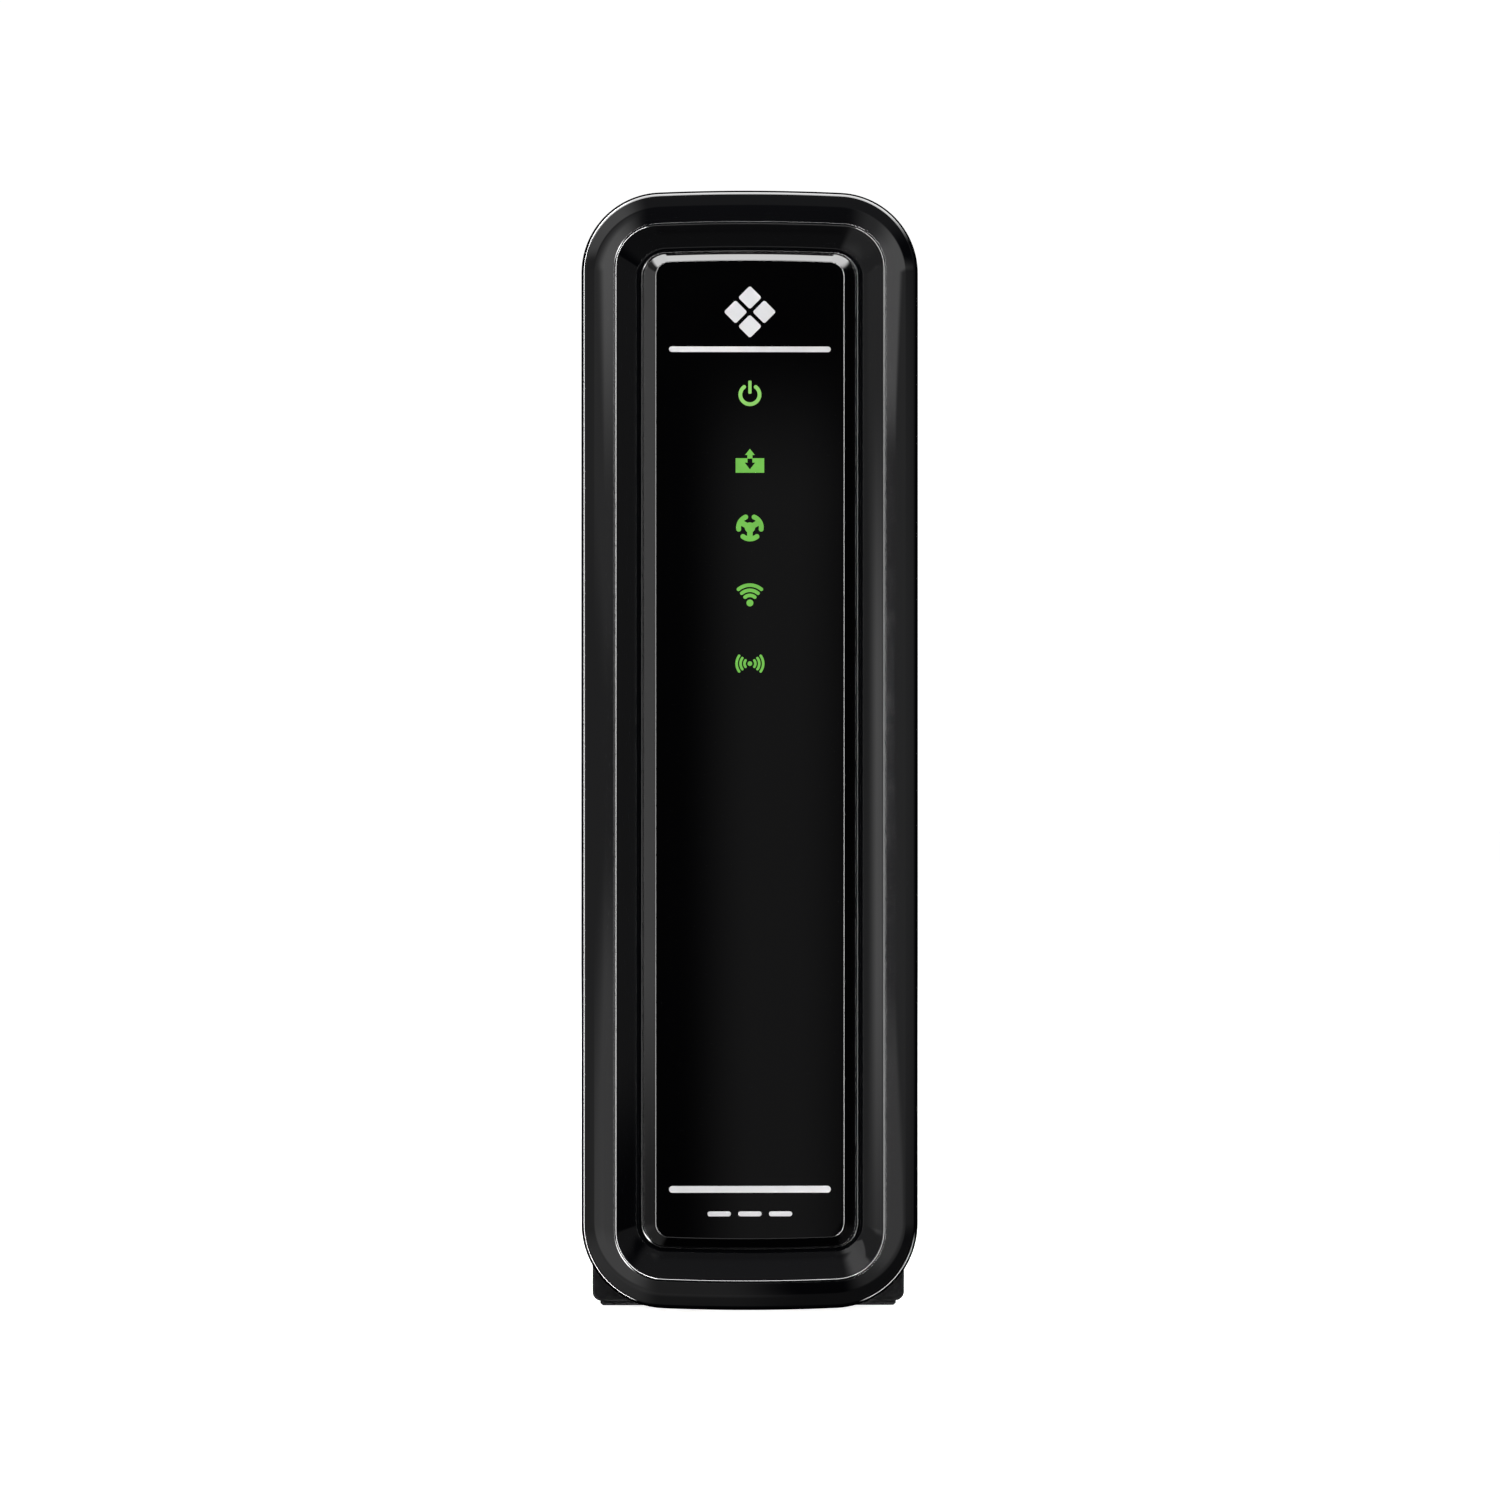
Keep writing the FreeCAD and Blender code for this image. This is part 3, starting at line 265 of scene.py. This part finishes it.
def moulded(name, colour, roughness, grain, depth, specular=0.5, mottle=60):
    """Moulded plastic or rubber: fine grain in height and gloss, and a slow drift in shade."""
    n = Nodes(name)
    n.set(Specular_IOR_Level=specular)
    grains = n.noise(grain, 4)
    shade = n.blend(n.noise(mottle, 2), scaled(colour, 0.82), scaled(colour, 1.15))
    n.link(shade, n.shader.inputs["Base Color"])
    n.link(n.spread(grains, roughness * 0.85, min(1, roughness * 1.15)), n.shader.inputs["Roughness"])
    n.bump(grains, depth)
    return n.material


def metal(name, colour, roughness, stretch, depth=2e-6):
    """Metal with fine marks drawn out along one axis."""
    n = Nodes(name)
    n.set(Metallic=1.0)
    marks = n.noise(1.0, 3, n.stretched(stretch))
    n.link(n.blend(marks, scaled(colour, 0.86), colour), n.shader.inputs["Base Color"])
    n.link(n.spread(marks, roughness * 0.8, roughness * 1.25), n.shader.inputs["Roughness"])
    n.bump(marks, depth)
    return n.material


def polished(name, colour, roughness, ripple):
    """High-gloss moulded plastic: almost a mirror, with a trace of moulding ripple."""
    n = Nodes(name)
    n.set(Specular_IOR_Level=0.5)
    waves = n.noise(45, 2)
    n.link(n.blend(n.noise(25, 2), colour, scaled(colour, 1.3)), n.shader.inputs["Base Color"])
    n.link(n.spread(n.noise(700, 2), roughness * 0.7, roughness * 1.4), n.shader.inputs["Roughness"])
    n.bump(waves, ripple)
    return n.material


def clear(name, colour, roughness):
    n = Nodes(name)
    n.set(Transmission_Weight=0.85, IOR=1.49)
    n.link(n.blend(n.noise(300, 2), scaled(colour, 0.92), colour), n.shader.inputs["Base Color"])
    n.link(n.spread(n.noise(900, 2), roughness * 0.7, roughness * 1.4), n.shader.inputs["Roughness"])
    return n.material


ICON_FADE_LOW, ICON_FADE_HIGH = 0.1415, 0.1475      # heights in metres between which the icons brighten


def lit_icon():
    """Translucent green inlay, lit from behind. The topmost is the brightest, and the light is mottled."""
    n = Nodes("icon_green")
    n.set(Base_Color=(0.004, 0.012, 0.003, 1), Roughness=0.05, Emission_Strength=0.9)
    height = n.add("SeparateXYZ")
    n.link(n.place, height.inputs["Vector"])
    level = n.spread(height.outputs["Z"], 0.0, 1.0, ICON_FADE_LOW, ICON_FADE_HIGH)
    base = n.blend(level, (0.190, 0.575, 0.090), (0.305, 0.700, 0.160), 0.0, 1.0)
    mottled = n.add("Mix", data_type="RGBA", blend_type="MULTIPLY")
    mottled.inputs["Factor"].default_value = 1.0
    n.link(base, mottled.inputs["A"])
    n.link(n.blend(n.noise(420, 2), (0.93, 0.93, 0.93), (1.07, 1.07, 1.07)), mottled.inputs["B"])
    n.link(mottled.outputs["Result"], n.shader.inputs["Emission Color"])
    return n.material


def board_green():
    """Solder mask over a fine grid of tracks."""
    n = Nodes("board_green")
    tracks = n.add("TexBrick", Scale=1.0)
    tracks.inputs["Mortar Size"].default_value = 0.18
    tracks.inputs["Brick Width"].default_value = 6.0
    tracks.inputs["Row Height"].default_value = 1.0
    n.link(n.flattened("Y", "Z", 800), tracks.inputs["Vector"])
    ground, track = (0.012, 0.085, 0.032), (0.020, 0.135, 0.050)
    n.link(n.blend(tracks.outputs["Fac"], track, ground, 0.2, 0.8), n.shader.inputs["Base Color"])
    n.link(n.spread(n.noise(500, 2), 0.28, 0.42), n.shader.inputs["Roughness"])
    n.bump(tracks.outputs["Fac"], 2e-5, -0.6)
    return n.material


def label_film():
    """Silvered film with a faint brushed grain."""
    n = Nodes("label_film")
    n.set(Metallic=0.35)
    marks = n.noise(1.0, 2, n.stretched((300, 6000, 300)))
    n.link(n.blend(marks, (0.50, 0.51, 0.52), (0.66, 0.67, 0.68)), n.shader.inputs["Base Color"])
    n.link(n.spread(marks, 0.34, 0.48), n.shader.inputs["Roughness"])
    n.bump(marks, 1e-6)
    return n.material


def aerial_board():
    """Thin board with copper showing through a dark mask as meandering strips."""
    n = Nodes("aerial_board")
    strips = n.add("TexWave", Scale=1.0, Distortion=0.0)
    n.link(n.flattened("Y", "Z", 180), strips.inputs["Vector"])
    n.link(n.blend(strips.outputs["Fac"], (0.030, 0.055, 0.035), (0.085, 0.105, 0.050), 0.45, 0.55),
           n.shader.inputs["Base Color"])
    n.link(n.spread(n.noise(600, 2), 0.35, 0.5), n.shader.inputs["Roughness"])
    n.bump(strips.outputs["Fac"], 1e-5)
    return n.material


MATERIALS = {
    "gloss_black": polished("gloss_black", (0.0020, 0.0021, 0.0028), 0.022, 1.2e-6),
    "lens_black": polished("lens_black", (0.0012, 0.0012, 0.0014), 0.018, 4e-7),
    "icon_green": lit_icon(),
    "housing_black": moulded("housing_black", (0.0065, 0.0065, 0.007), 0.75, 2600, 5e-5, 0.06),
    "panel_black": moulded("panel_black", (0.010, 0.010, 0.011), 0.5, 3400, 3e-5, 0.2),
    "matte_black": moulded("matte_black", (0.006, 0.006, 0.006), 0.7, 1500, 1e-5, 0.3),
    "rubber_black": moulded("rubber_black", (0.007, 0.007, 0.0075), 0.75, 1800, 2e-5, 0.1),
    "jack_black": moulded("jack_black", (0.012, 0.012, 0.0125), 0.42, 2200, 1.2e-5),
    "button_grey": moulded("button_grey", (0.060, 0.061, 0.064), 0.45, 2400, 1.2e-5),
    "chip_black": moulded("chip_black", (0.018, 0.018, 0.019), 0.5, 3000, 1e-5),
    "pad_grey": moulded("pad_grey", (0.42, 0.44, 0.47), 0.8, 900, 3e-5),
    "pin_white": moulded("pin_white", (0.72, 0.72, 0.69), 0.45, 1500, 5e-6),
    "inductor_grey": moulded("inductor_grey", (0.085, 0.085, 0.09), 0.6, 1800, 2e-5),
    "led_white": moulded("led_white", (0.85, 0.85, 0.76), 0.3, 1500, 3e-6),
    "insulator_white": moulded("insulator_white", (0.80, 0.79, 0.74), 0.4, 1600, 6e-6),
    "lead_grey": moulded("lead_grey", (0.24, 0.25, 0.27), 0.5, 2200, 6e-6),
    "screw_steel": metal("screw_steel", (0.42, 0.42, 0.43), 0.3, (900, 900, 900)),
    "shield_steel": metal("shield_steel", (0.42, 0.42, 0.41), 0.35, (500, 500, 60)),
    "heatsink_aluminium": metal("heatsink_aluminium", (0.40, 0.41, 0.42), 0.45, (1500, 1500, 40)),
    "capacitor_aluminium": metal("capacitor_aluminium", (0.50, 0.51, 0.52), 0.32, (40, 1200, 1200)),
    "coax_nickel": metal("coax_nickel", (0.62, 0.60, 0.56), 0.22, (1500, 200, 1500)),
    "contact_gold": metal("contact_gold", (0.80, 0.58, 0.24), 0.2, (1500, 100, 1500)),
    "clear_plastic": clear("clear_plastic", (0.86, 0.89, 0.91), 0.08),
    "lamp_clear": clear("lamp_clear", (0.78, 0.84, 0.72), 0.2),
    "board_green": board_green(),
    "label_film": label_film(),
    "aerial_board": aerial_board(),
    "mark_white": moulded("mark_white", (0.93, 0.93, 0.94), 0.5, 1500, 2e-6, 0.1, 15),
}


def finish_cad_nodes():
    """Every CAD node takes the finish of its own slot."""
    for part in frame["record"]["subparts"]:
        node = NODES[part["node"]]
        node.data.materials.clear()
        node.data.materials.append(MATERIALS[part["material_slot"]])


# ---- front ----
def front_bezel():
    """Ring that slopes outwards, dish that slopes inwards to the lens, skirt behind."""
    foot = inset(LENS, -LENS_GAP)
    # outline, y, radius, steps
    ring = [
        (BEZEL, SKIRT_REAR_Y, 0.3, 4),
        (BEZEL, FLARE_Y, 0.6, 6),
        (inset(BEZEL, SHOULDER_IN), SHOULDER_Y, 0.8, 16),
        (inset(BEZEL, SLOPE_IN), SLOPE_Y, SLOPE_R, 10),
        (inset(CREST, -CREST_FLAT), FRONT_Y + CREST_DROP, 0.15, 4),
        (CREST, FRONT_Y, 0.6, 14),
    ]
    dish = [
        (between(CREST, foot, 0.5), (FRONT_Y + DISH_Y) / 2 + DISH_HOLLOW, 60.0, 8),
        (foot, DISH_Y, 0.15, 6),
        (foot, LEDGE_Y, 0, 0),
    ]
    inside = [
        (inset(BEZEL, LEDGE_IN), LEDGE_Y, 0, 0),
        (inset(BEZEL, LEDGE_IN), LEDGE_REAR_Y, 0, 0),
        (inset(BEZEL, SKIRT_LEDGE_IN), LEDGE_REAR_Y, 0.5, 4),
        (inset(BEZEL, HAUNCH_IN), HAUNCH_Y, 0.5, 4),
        (inset(BEZEL, SKIRT_WALL), SKIRT_FRONT_Y, 0.5, 4),
        (inset(BEZEL, SKIRT_WALL), SKIRT_REAR_Y, 0.2, 3),
    ]
    levels = rounded_levels(ring + dish + inside)
    piece = finish_mesh(skin(levels, True), "bezel_gloss", MATERIALS["gloss_black"])
    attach(piece, "modem")
    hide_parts("front_bezel")


def front_lens():
    """Raised lens: a narrow step round its foot, a bevel and a flat face."""
    face_y = FACE_Y + FACE_BEHIND_ICONS
    corners = [
        (LENS, LEDGE_Y, 0, 0),
        (LENS, LENS_EDGE_Y, 0.1, 6),
        (BEVEL, LENS_EDGE_Y, 0.04, 3),
        (FACE, face_y, 0.4, 12),
        (inset(FACE, FACE_RIM), face_y, 0, 0),
    ]
    piece = finish_mesh(skin(rounded_levels(corners), False), "lens_gloss", MATERIALS["lens_black"])
    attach(piece, "modem")
    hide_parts("front_lens")


# ---- printed marks: plain shapes only ----
EMBLEM_Z, EMBLEM_REACH, TILE_HALF, TILE_R = 163.6, 2.35, 1.35, 0.35
TOP_BAR_Z, BOTTOM_BAR_Z, BAR_HALF_W = 157.5, 20.4, 13.2
DASH_Z, DASH_PITCH, DASH_HALF_W = 16.4, 5.0, 1.9


def rounded_tile(centre, half_w, half_h, r, turn=0.0, steps=6):
    """Corner points of a round-cornered tile, in the face's X and Z."""
    points = []
    for quarter, (sx, sz) in enumerate(((1, 1), (-1, 1), (-1, -1), (1, -1))):
        for i in range(steps + 1):
            angle = math.pi / 2 * (quarter + i / steps)
            x = sx * (half_w - r) + r * math.cos(angle)
            z = sz * (half_h - r) + r * math.sin(angle)
            points.append((centre[0] + x * math.cos(turn) - z * math.sin(turn),
                           centre[1] + x * math.sin(turn) + z * math.cos(turn)))
    return points


def printed(name, tiles):
    """Tiles printed on the face of the lens, as thin closed plates."""
    bm = bmesh.new()
    back, front = FACE_Y + FACE_BEHIND_ICONS, FACE_Y + MARKS_BEHIND_ICONS
    for tile in tiles:
        rear = [bm.verts.new(Vector((x, back, z)) * MM) for x, z in tile]
        fore = [bm.verts.new(Vector((x, front, z)) * MM) for x, z in tile]
        bm.faces.new(rear)
        bm.faces.new(fore)
        for i in range(len(tile)):
            j = (i + 1) % len(tile)
            bm.faces.new((rear[i], rear[j], fore[j], fore[i]))
    piece = finish_mesh(bm, name, MATERIALS["mark_white"], smooth=False)
    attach(piece, "modem")


def marks():
    """A plain emblem of four tiles over a bar near the top, and a bar over three dashes near the bottom."""
    emblem = []
    for i in range(4):
        angle = i * math.pi / 2
        centre = (math.cos(angle) * EMBLEM_REACH, EMBLEM_Z + math.sin(angle) * EMBLEM_REACH)
        emblem.append(rounded_tile(centre, TILE_HALF, TILE_HALF, TILE_R, math.pi / 4))
    printed("mark_top", emblem + [rounded_tile((0, TOP_BAR_Z), BAR_HALF_W, 0.45, 0.44)])
    dashes = [rounded_tile((x, DASH_Z), DASH_HALF_W, 0.4, 0.39) for x in (-DASH_PITCH, 0, DASH_PITCH)]
    printed("mark_bottom", [rounded_tile((0, BOTTOM_BAR_Z), BAR_HALF_W, 0.55, 0.54)] + dashes)


# ---- coax port ----
COAX_X, COAX_Z = (sum(corner[i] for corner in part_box("coax_insulator")) / 2 / MM for i in (0, 2))
COAX_LOW, COAX_HIGH = (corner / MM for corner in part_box("coax_port"))
THREAD_R, THREAD_ROOT_R, BARREL_R, COAX_BORE_R = 4.76, 4.22, 5.0, 3.6
THREAD_PITCH, THREAD_START_Y, THREAD_END_GAP = 25.4 / 32, 58.0, 0.5
BLOCK_REAR_Y, BARREL_SIDES, STEPS_PER_PITCH = 50.0, 64, 8
BARREL_END_Y, ROOT_START_Y = 57.2, 57.6             # the plain barrel steps down to the thread's root here
TIP_EASE_Y, TIP_EASE_R = 0.35, 0.25
BLOCK_OVERLAP, BLOCK_EASE = 0.5, 0.5


def thread_radius(y, turn, tip):
    """Radius of the screw thread at a depth y and a share of a turn round the axis. It fades in and out."""
    start = (y - THREAD_START_Y) / THREAD_PITCH
    end = (tip - THREAD_END_GAP - y) / THREAD_PITCH
    height = max(0.0, min(1.0, start, end))
    ridge = 1 - abs(2 * ((start - turn) % 1.0) - 1)
    return THREAD_ROOT_R + (THREAD_R - THREAD_ROOT_R) * height * ridge ** 0.8


def coax_barrel():
    """Threaded barrel, open at both ends."""
    tip = COAX_HIGH.y
    count = int((tip - THREAD_END_GAP - THREAD_START_Y) / THREAD_PITCH * STEPS_PER_PITCH)
    levels = [(BLOCK_REAR_Y, BARREL_R), (BARREL_END_Y, BARREL_R), (ROOT_START_Y, THREAD_ROOT_R)]
    levels += [(THREAD_START_Y + i * THREAD_PITCH / STEPS_PER_PITCH, None) for i in range(count + 1)]
    levels += [(tip - TIP_EASE_Y, THREAD_ROOT_R), (tip, THREAD_ROOT_R - TIP_EASE_R)]
    levels += [(tip, COAX_BORE_R), (BLOCK_REAR_Y, COAX_BORE_R)]
    bm = bmesh.new()
    loops = []
    for y, radius in levels:
        loop = []
        for i in range(BARREL_SIDES):
            angle = 2 * math.pi * i / BARREL_SIDES
            r = radius or thread_radius(y, i / BARREL_SIDES, tip)
            place = Vector((COAX_X + r * math.cos(angle), y, COAX_Z + r * math.sin(angle)))
            loop.append(bm.verts.new(place * MM))
        loops.append(loop)
    for lower, upper in zip(loops, loops[1:] + loops[:1]):
        for i in range(BARREL_SIDES):
            j = (i + 1) % BARREL_SIDES
            bm.faces.new((lower[i], lower[j], upper[j], upper[i]))
    barrel = finish_mesh(bm, "coax_barrel", MATERIALS["coax_nickel"])
    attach(barrel, "modem")
    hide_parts("coax_port")


def coax_block():
    """Square block with eased edges that the barrel stands on."""
    low, high = COAX_LOW, (COAX_HIGH.x, BLOCK_REAR_Y + BLOCK_OVERLAP, COAX_HIGH.z)
    bm = bmesh.new()
    bmesh.ops.create_cube(bm, size=1)
    for v in bm.verts:
        v.co = Vector([(a + b) / 2 + c * (b - a) for a, b, c in zip(low, high, v.co)]) * MM
    bmesh.ops.bevel(bm, geom=bm.edges[:], offset=BLOCK_EASE * MM, segments=3, profile=0.5, affect="EDGES")
    block = finish_mesh(bm, "coax_block", MATERIALS["coax_nickel"])
    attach(block, "modem")


# ---- stage ----
CENTRE_Z = (cad_box[0].z + cad_box[1].z) / 2
FRONT = Vector((0.0, FRONT_Y * MM, CENTRE_Z))


def toward(azimuth, elevation, distance):
    """Point at an angle round the front's middle: azimuth 0 is straight in front, positive to the right."""
    a, e = math.radians(azimuth), math.radians(elevation)
    return FRONT + Vector((math.sin(a) * math.cos(e), -math.cos(a) * math.cos(e), math.sin(e))) * distance


def facing(obj, target):
    obj.rotation_euler = (target - obj.location).to_track_quat("-Z", "Y").to_euler()


def lamp(name, azimuth, elevation, distance, size, radiance):
    """Rectangular light of a given radiance that faces the front."""
    light = bpy.data.lights.new(name, "AREA")
    light.shape = "RECTANGLE"
    light.size, light.size_y = size
    light.energy = radiance * math.pi * size[0] * size[1]
    obj = bpy.data.objects.new(name, light)
    obj.location = toward(azimuth, elevation, distance)
    facing(obj, FRONT)
    bpy.context.scene.collection.objects.link(obj)
    seen_only_by(obj, "diffuse")


class Dome:
    """Glowing dome seen only in reflections. Each patch spans angles from the axis towards the camera, and
    angles to either side of one direction across it: left, right, up or down."""

    SIDES = {
        "left": ("X", -1, "Z", 1),
        "right": ("X", 1, "Z", 1),
        "up": ("Z", 1, "X", 1),
        "down": ("Z", -1, "X", 1),
    }

    def __init__(self, name):
        self.material = bpy.data.materials.new(name)
        self.material.use_nodes = True
        self.tree = self.material.node_tree
        self.tree.nodes.clear()
        place = self.tree.nodes.new("ShaderNodeTexCoord").outputs["Object"]
        direction = self.tree.nodes.new("ShaderNodeVectorMath")
        direction.operation = "NORMALIZE"
        self.tree.links.new(place, direction.inputs[0])
        axes = self.tree.nodes.new("ShaderNodeSeparateXYZ")
        self.tree.links.new(direction.outputs[0], axes.inputs[0])
        self.axes = {axis: axes.outputs[axis] for axis in "XYZ"}
        self.from_axis = self.degrees(self.math("ARCCOSINE", self.math("MULTIPLY", self.axes["Y"], -1.0)))
        self.level = None

    def math(self, operation, *values):
        node = self.tree.nodes.new("ShaderNodeMath")
        node.operation = operation
        for socket, value in zip(node.inputs, values):
            if isinstance(value, (int, float)):
                socket.default_value = value
            else:
                self.tree.links.new(value, socket)
        return node.outputs[0]

    def degrees(self, radians):
        return self.math("MULTIPLY", radians, 180 / math.pi)

    def window(self, value, low, high, soft):
        """1 between low and high, fading to 0 over a width on each side: (low side, high side)."""
        ramps = []
        for edge, outside in ((low, low - soft[0]), (high, high + soft[1])):
            ramp = self.tree.nodes.new("ShaderNodeMapRange")
            ramp.interpolation_type = "SMOOTHSTEP"
            for key, number in (("From Min", outside), ("From Max", edge), ("To Min", 0.0), ("To Max", 1.0)):
                ramp.inputs[key].default_value = number
            self.tree.links.new(value, ramp.inputs["Value"])
            ramps.append(ramp.outputs["Result"])
        return self.math("MULTIPLY", *ramps)

    def add(self, level):
        self.level = level if self.level is None else self.math("ADD", self.level, level)

    def patch(self, side, radiance, out, out_soft, along, along_soft):
        main, main_sign, cross, cross_sign = self.SIDES[side]
        around = self.degrees(self.math("ARCTAN2", self.math("MULTIPLY", self.axes[cross], cross_sign),
                                        self.math("MULTIPLY", self.axes[main], main_sign)))
        level = self.math("MULTIPLY", self.window(self.from_axis, *out, out_soft),
                          self.window(around, *along, along_soft))
        self.add(self.math("MULTIPLY", level, radiance))

    def screen(self, radiance, x_range, x_soft, z_range, z_soft):
        """Patch behind the camera, in direction components."""
        level = self.math("MULTIPLY", self.window(self.axes["X"], *x_range, x_soft),
                          self.window(self.axes["Z"], *z_range, z_soft))
        ahead = self.math("LESS_THAN", self.axes["Y"], -0.9)
        self.add(self.math("MULTIPLY", self.math("MULTIPLY", level, ahead), radiance))

    def build(self, radius):
        emission = self.tree.nodes.new("ShaderNodeEmission")
        self.tree.links.new(self.level, emission.inputs["Strength"])
        output = self.tree.nodes.new("ShaderNodeOutputMaterial")
        self.tree.links.new(emission.outputs["Emission"], output.inputs["Surface"])
        return ball("reflection_dome", radius, self.material, FRONT)


def ball(name, radius, material, centre):
    bm = bmesh.new()
    bmesh.ops.create_uvsphere(bm, u_segments=64, v_segments=32, radius=radius)
    bmesh.ops.reverse_faces(bm, faces=bm.faces)
    mesh = bpy.data.meshes.new(name)
    bm.to_mesh(mesh)
    bm.free()
    mesh.materials.append(material)
    obj = bpy.data.objects.new(name, mesh)
    obj.location = centre
    bpy.context.scene.collection.objects.link(obj)
    return obj


def seen_only_by(obj, *rays):
    for ray in ("camera", "glossy", "diffuse", "transmission", "volume_scatter", "shadow"):
        setattr(obj, "visible_" + ray, ray in rays)


def reflections():
    """Soft panels and bright strips that draw the bands and the fine lines on the gloss front."""
    dome = Dome("dome_glow")
    # what the ring's slope sees: left, then right, then above and below
    dome.patch("left", 0.30, (22, 80), (10, 6), (-70, 60), (15, 20))
    dome.patch("left", 0.2, (22, 43), (10, 3), (8, 60), (6, 20))
    dome.patch("left", 1.4, (22, 26), (10, 18), (24, 50), (12, 26))
    dome.patch("left", 0.6, (22, 43), (10, 3), (-60, -13), (20, 9))
    dome.patch("right", 0.42, (22, 46), (10, 3), (-60, 60), (20, 20))
    dome.patch("right", 1.2, (22, 46), (10, 3), (17, 34), (4, 26))
    dome.patch("right", 0.45, (22, 38), (10, 8), (-40, -14), (20, 4))
    dome.patch("right", 0.13, (60, 80), (6, 6), (-6, 60), (3, 20))
    dome.patch("up", 0.04, (30, 52), (10, 3), (-40, 40), (20, 20))
    dome.patch("down", 0.3, (30, 48), (10, 6), (-60, 0), (20, 4))
    dome.patch("down", 0.08, (49, 58), (2, 4), (-60, 60), (20, 20))
    # what the dish and the lens's bevel see
    dome.patch("left", 0.9, (48, 53), (1.5, 1), (-5, 60), (6, 20))
    dome.patch("left", 0.1, (64, 75), (2, 8), (-60, 60), (20, 20))
    dome.patch("left", 1.3, (67, 75), (4, 8), (-4, 1), (8, 7))
    dome.patch("up", 0.13, (48, 58), (3, 2), (-40, 40), (20, 20))
    dome.patch("up", 13, (60, 112), (3, 8), (-40, 34), (26, 26))
    # bright strips for the lines along the edges
    dome.patch("right", 115, (19.5, 22.5), (0.7, 0.7), (-66, 75), (6, 6))
    dome.patch("left", 45, (14, 19), (1, 1), (-66, 60), (6, 6))
    dome.patch("up", 55, (20, 24), (1, 1), (-30, 30), (8, 8))
    dome.patch("down", 5, (20, 24), (1, 1), (-30, 30), (8, 8))
    dome.patch("left", 100, (92.5, 96), (1.5, 1.5), (-66, 62), (6, 10))
    dome.patch("right", 40, (90, 96), (1, 1), (-66, -24), (6, 10))
    # what the flat face sees
    dome.screen(0.17, (0.020, 0.032), (0.026, 0.03), (-0.16, 0.08), (0.15, 0.06))
    seen_only_by(dome.build(1.0), "glossy")


def studio():
    """Soft lights for the matte surfaces, kept out of the reflections."""
    for name, azimuth, elevation, radiance in (
            ("soft_front", -5, 4, 3.8), ("soft_left", -50, 35, 2.0), ("soft_right", 50, 30, 2.0),
            ("soft_top", 10, 80, 2.5), ("rear_left", -150, 25, 4.0), ("rear_right", 150, 20, 4.0)):
        lamp(name, azimuth, elevation, 1.3, (0.8, 0.8), radiance)
    sky = bpy.data.lights.new("sky", "SUN")
    sky.energy, sky.angle = 0.7, math.radians(70)
    obj = bpy.data.objects.new("sky", sky)
    bpy.context.scene.collection.objects.link(obj)
    seen_only_by(obj, "diffuse")


def backdrop():
    """White ball all round, seen only by the camera."""
    white = bpy.data.materials.new("backdrop_white")
    white.use_nodes = True
    shader = white.node_tree.nodes["Principled BSDF"]
    shader.inputs["Base Color"].default_value = (0, 0, 0, 1)
    shader.inputs["Specular IOR Level"].default_value = 0.0
    shader.inputs["Emission Color"].default_value = (1, 1, 1, 1)
    shader.inputs["Emission Strength"].default_value = 1.05
    seen_only_by(ball("backdrop", 8.0, white, Vector((0, 0, 0))), "camera")


def pale_floor():
    """Bright floor, seen only by the camera."""
    mesh = bpy.data.meshes.new("floor")
    reach = 6.0
    corners = [(-reach, -reach, 0), (reach, -reach, 0), (reach, reach, 0), (-reach, reach, 0)]
    mesh.from_pydata(corners, [], [(0, 1, 2, 3)])
    material = bpy.data.materials.new("floor_pale")
    material.use_nodes = True
    shader = material.node_tree.nodes["Principled BSDF"]
    shader.inputs["Base Color"].default_value = (0.75, 0.75, 0.75, 1)
    shader.inputs["Roughness"].default_value = 0.9
    shader.inputs["Emission Color"].default_value = (1, 1, 1, 1)
    shader.inputs["Emission Strength"].default_value = 0.86
    mesh.materials.append(material)
    floor = bpy.data.objects.new("floor", mesh)
    bpy.context.scene.collection.objects.link(floor)
    seen_only_by(floor, "camera")


def dark_room():
    """Black world, so that only the lights and the dome count, and the Standard view."""
    world = bpy.data.worlds.new("dark_room")
    world.use_nodes = True
    world.node_tree.nodes["Background"].inputs["Color"].default_value = (0, 0, 0, 1)
    bpy.context.scene.world = world
    bpy.context.scene.view_settings.view_transform = "Standard"


CAMERA_PLACE, CAMERA_REACH = (-0.018, -1.0665, 0.0921), 1.0      # metres; the reach is to the front's crest


def camera():
    """Straight in front, a touch to the left, level with the middle of the front."""
    data = bpy.data.cameras.new("camera")
    data.lens, data.sensor_width = 147.2, 36.0
    data.clip_start, data.clip_end = 0.05, 50.0
    obj = bpy.data.objects.new("camera", data)
    obj.location = CAMERA_PLACE
    obj.rotation_euler = (math.radians(90), 0, math.atan2(CAMERA_PLACE[0], CAMERA_REACH))
    bpy.context.scene.collection.objects.link(obj)
    bpy.context.scene.camera = obj


finish_cad_nodes()
front_bezel()
front_lens()
marks()
coax_barrel()
coax_block()
backdrop()
pale_floor()
dark_room()
reflections()
studio()
camera()
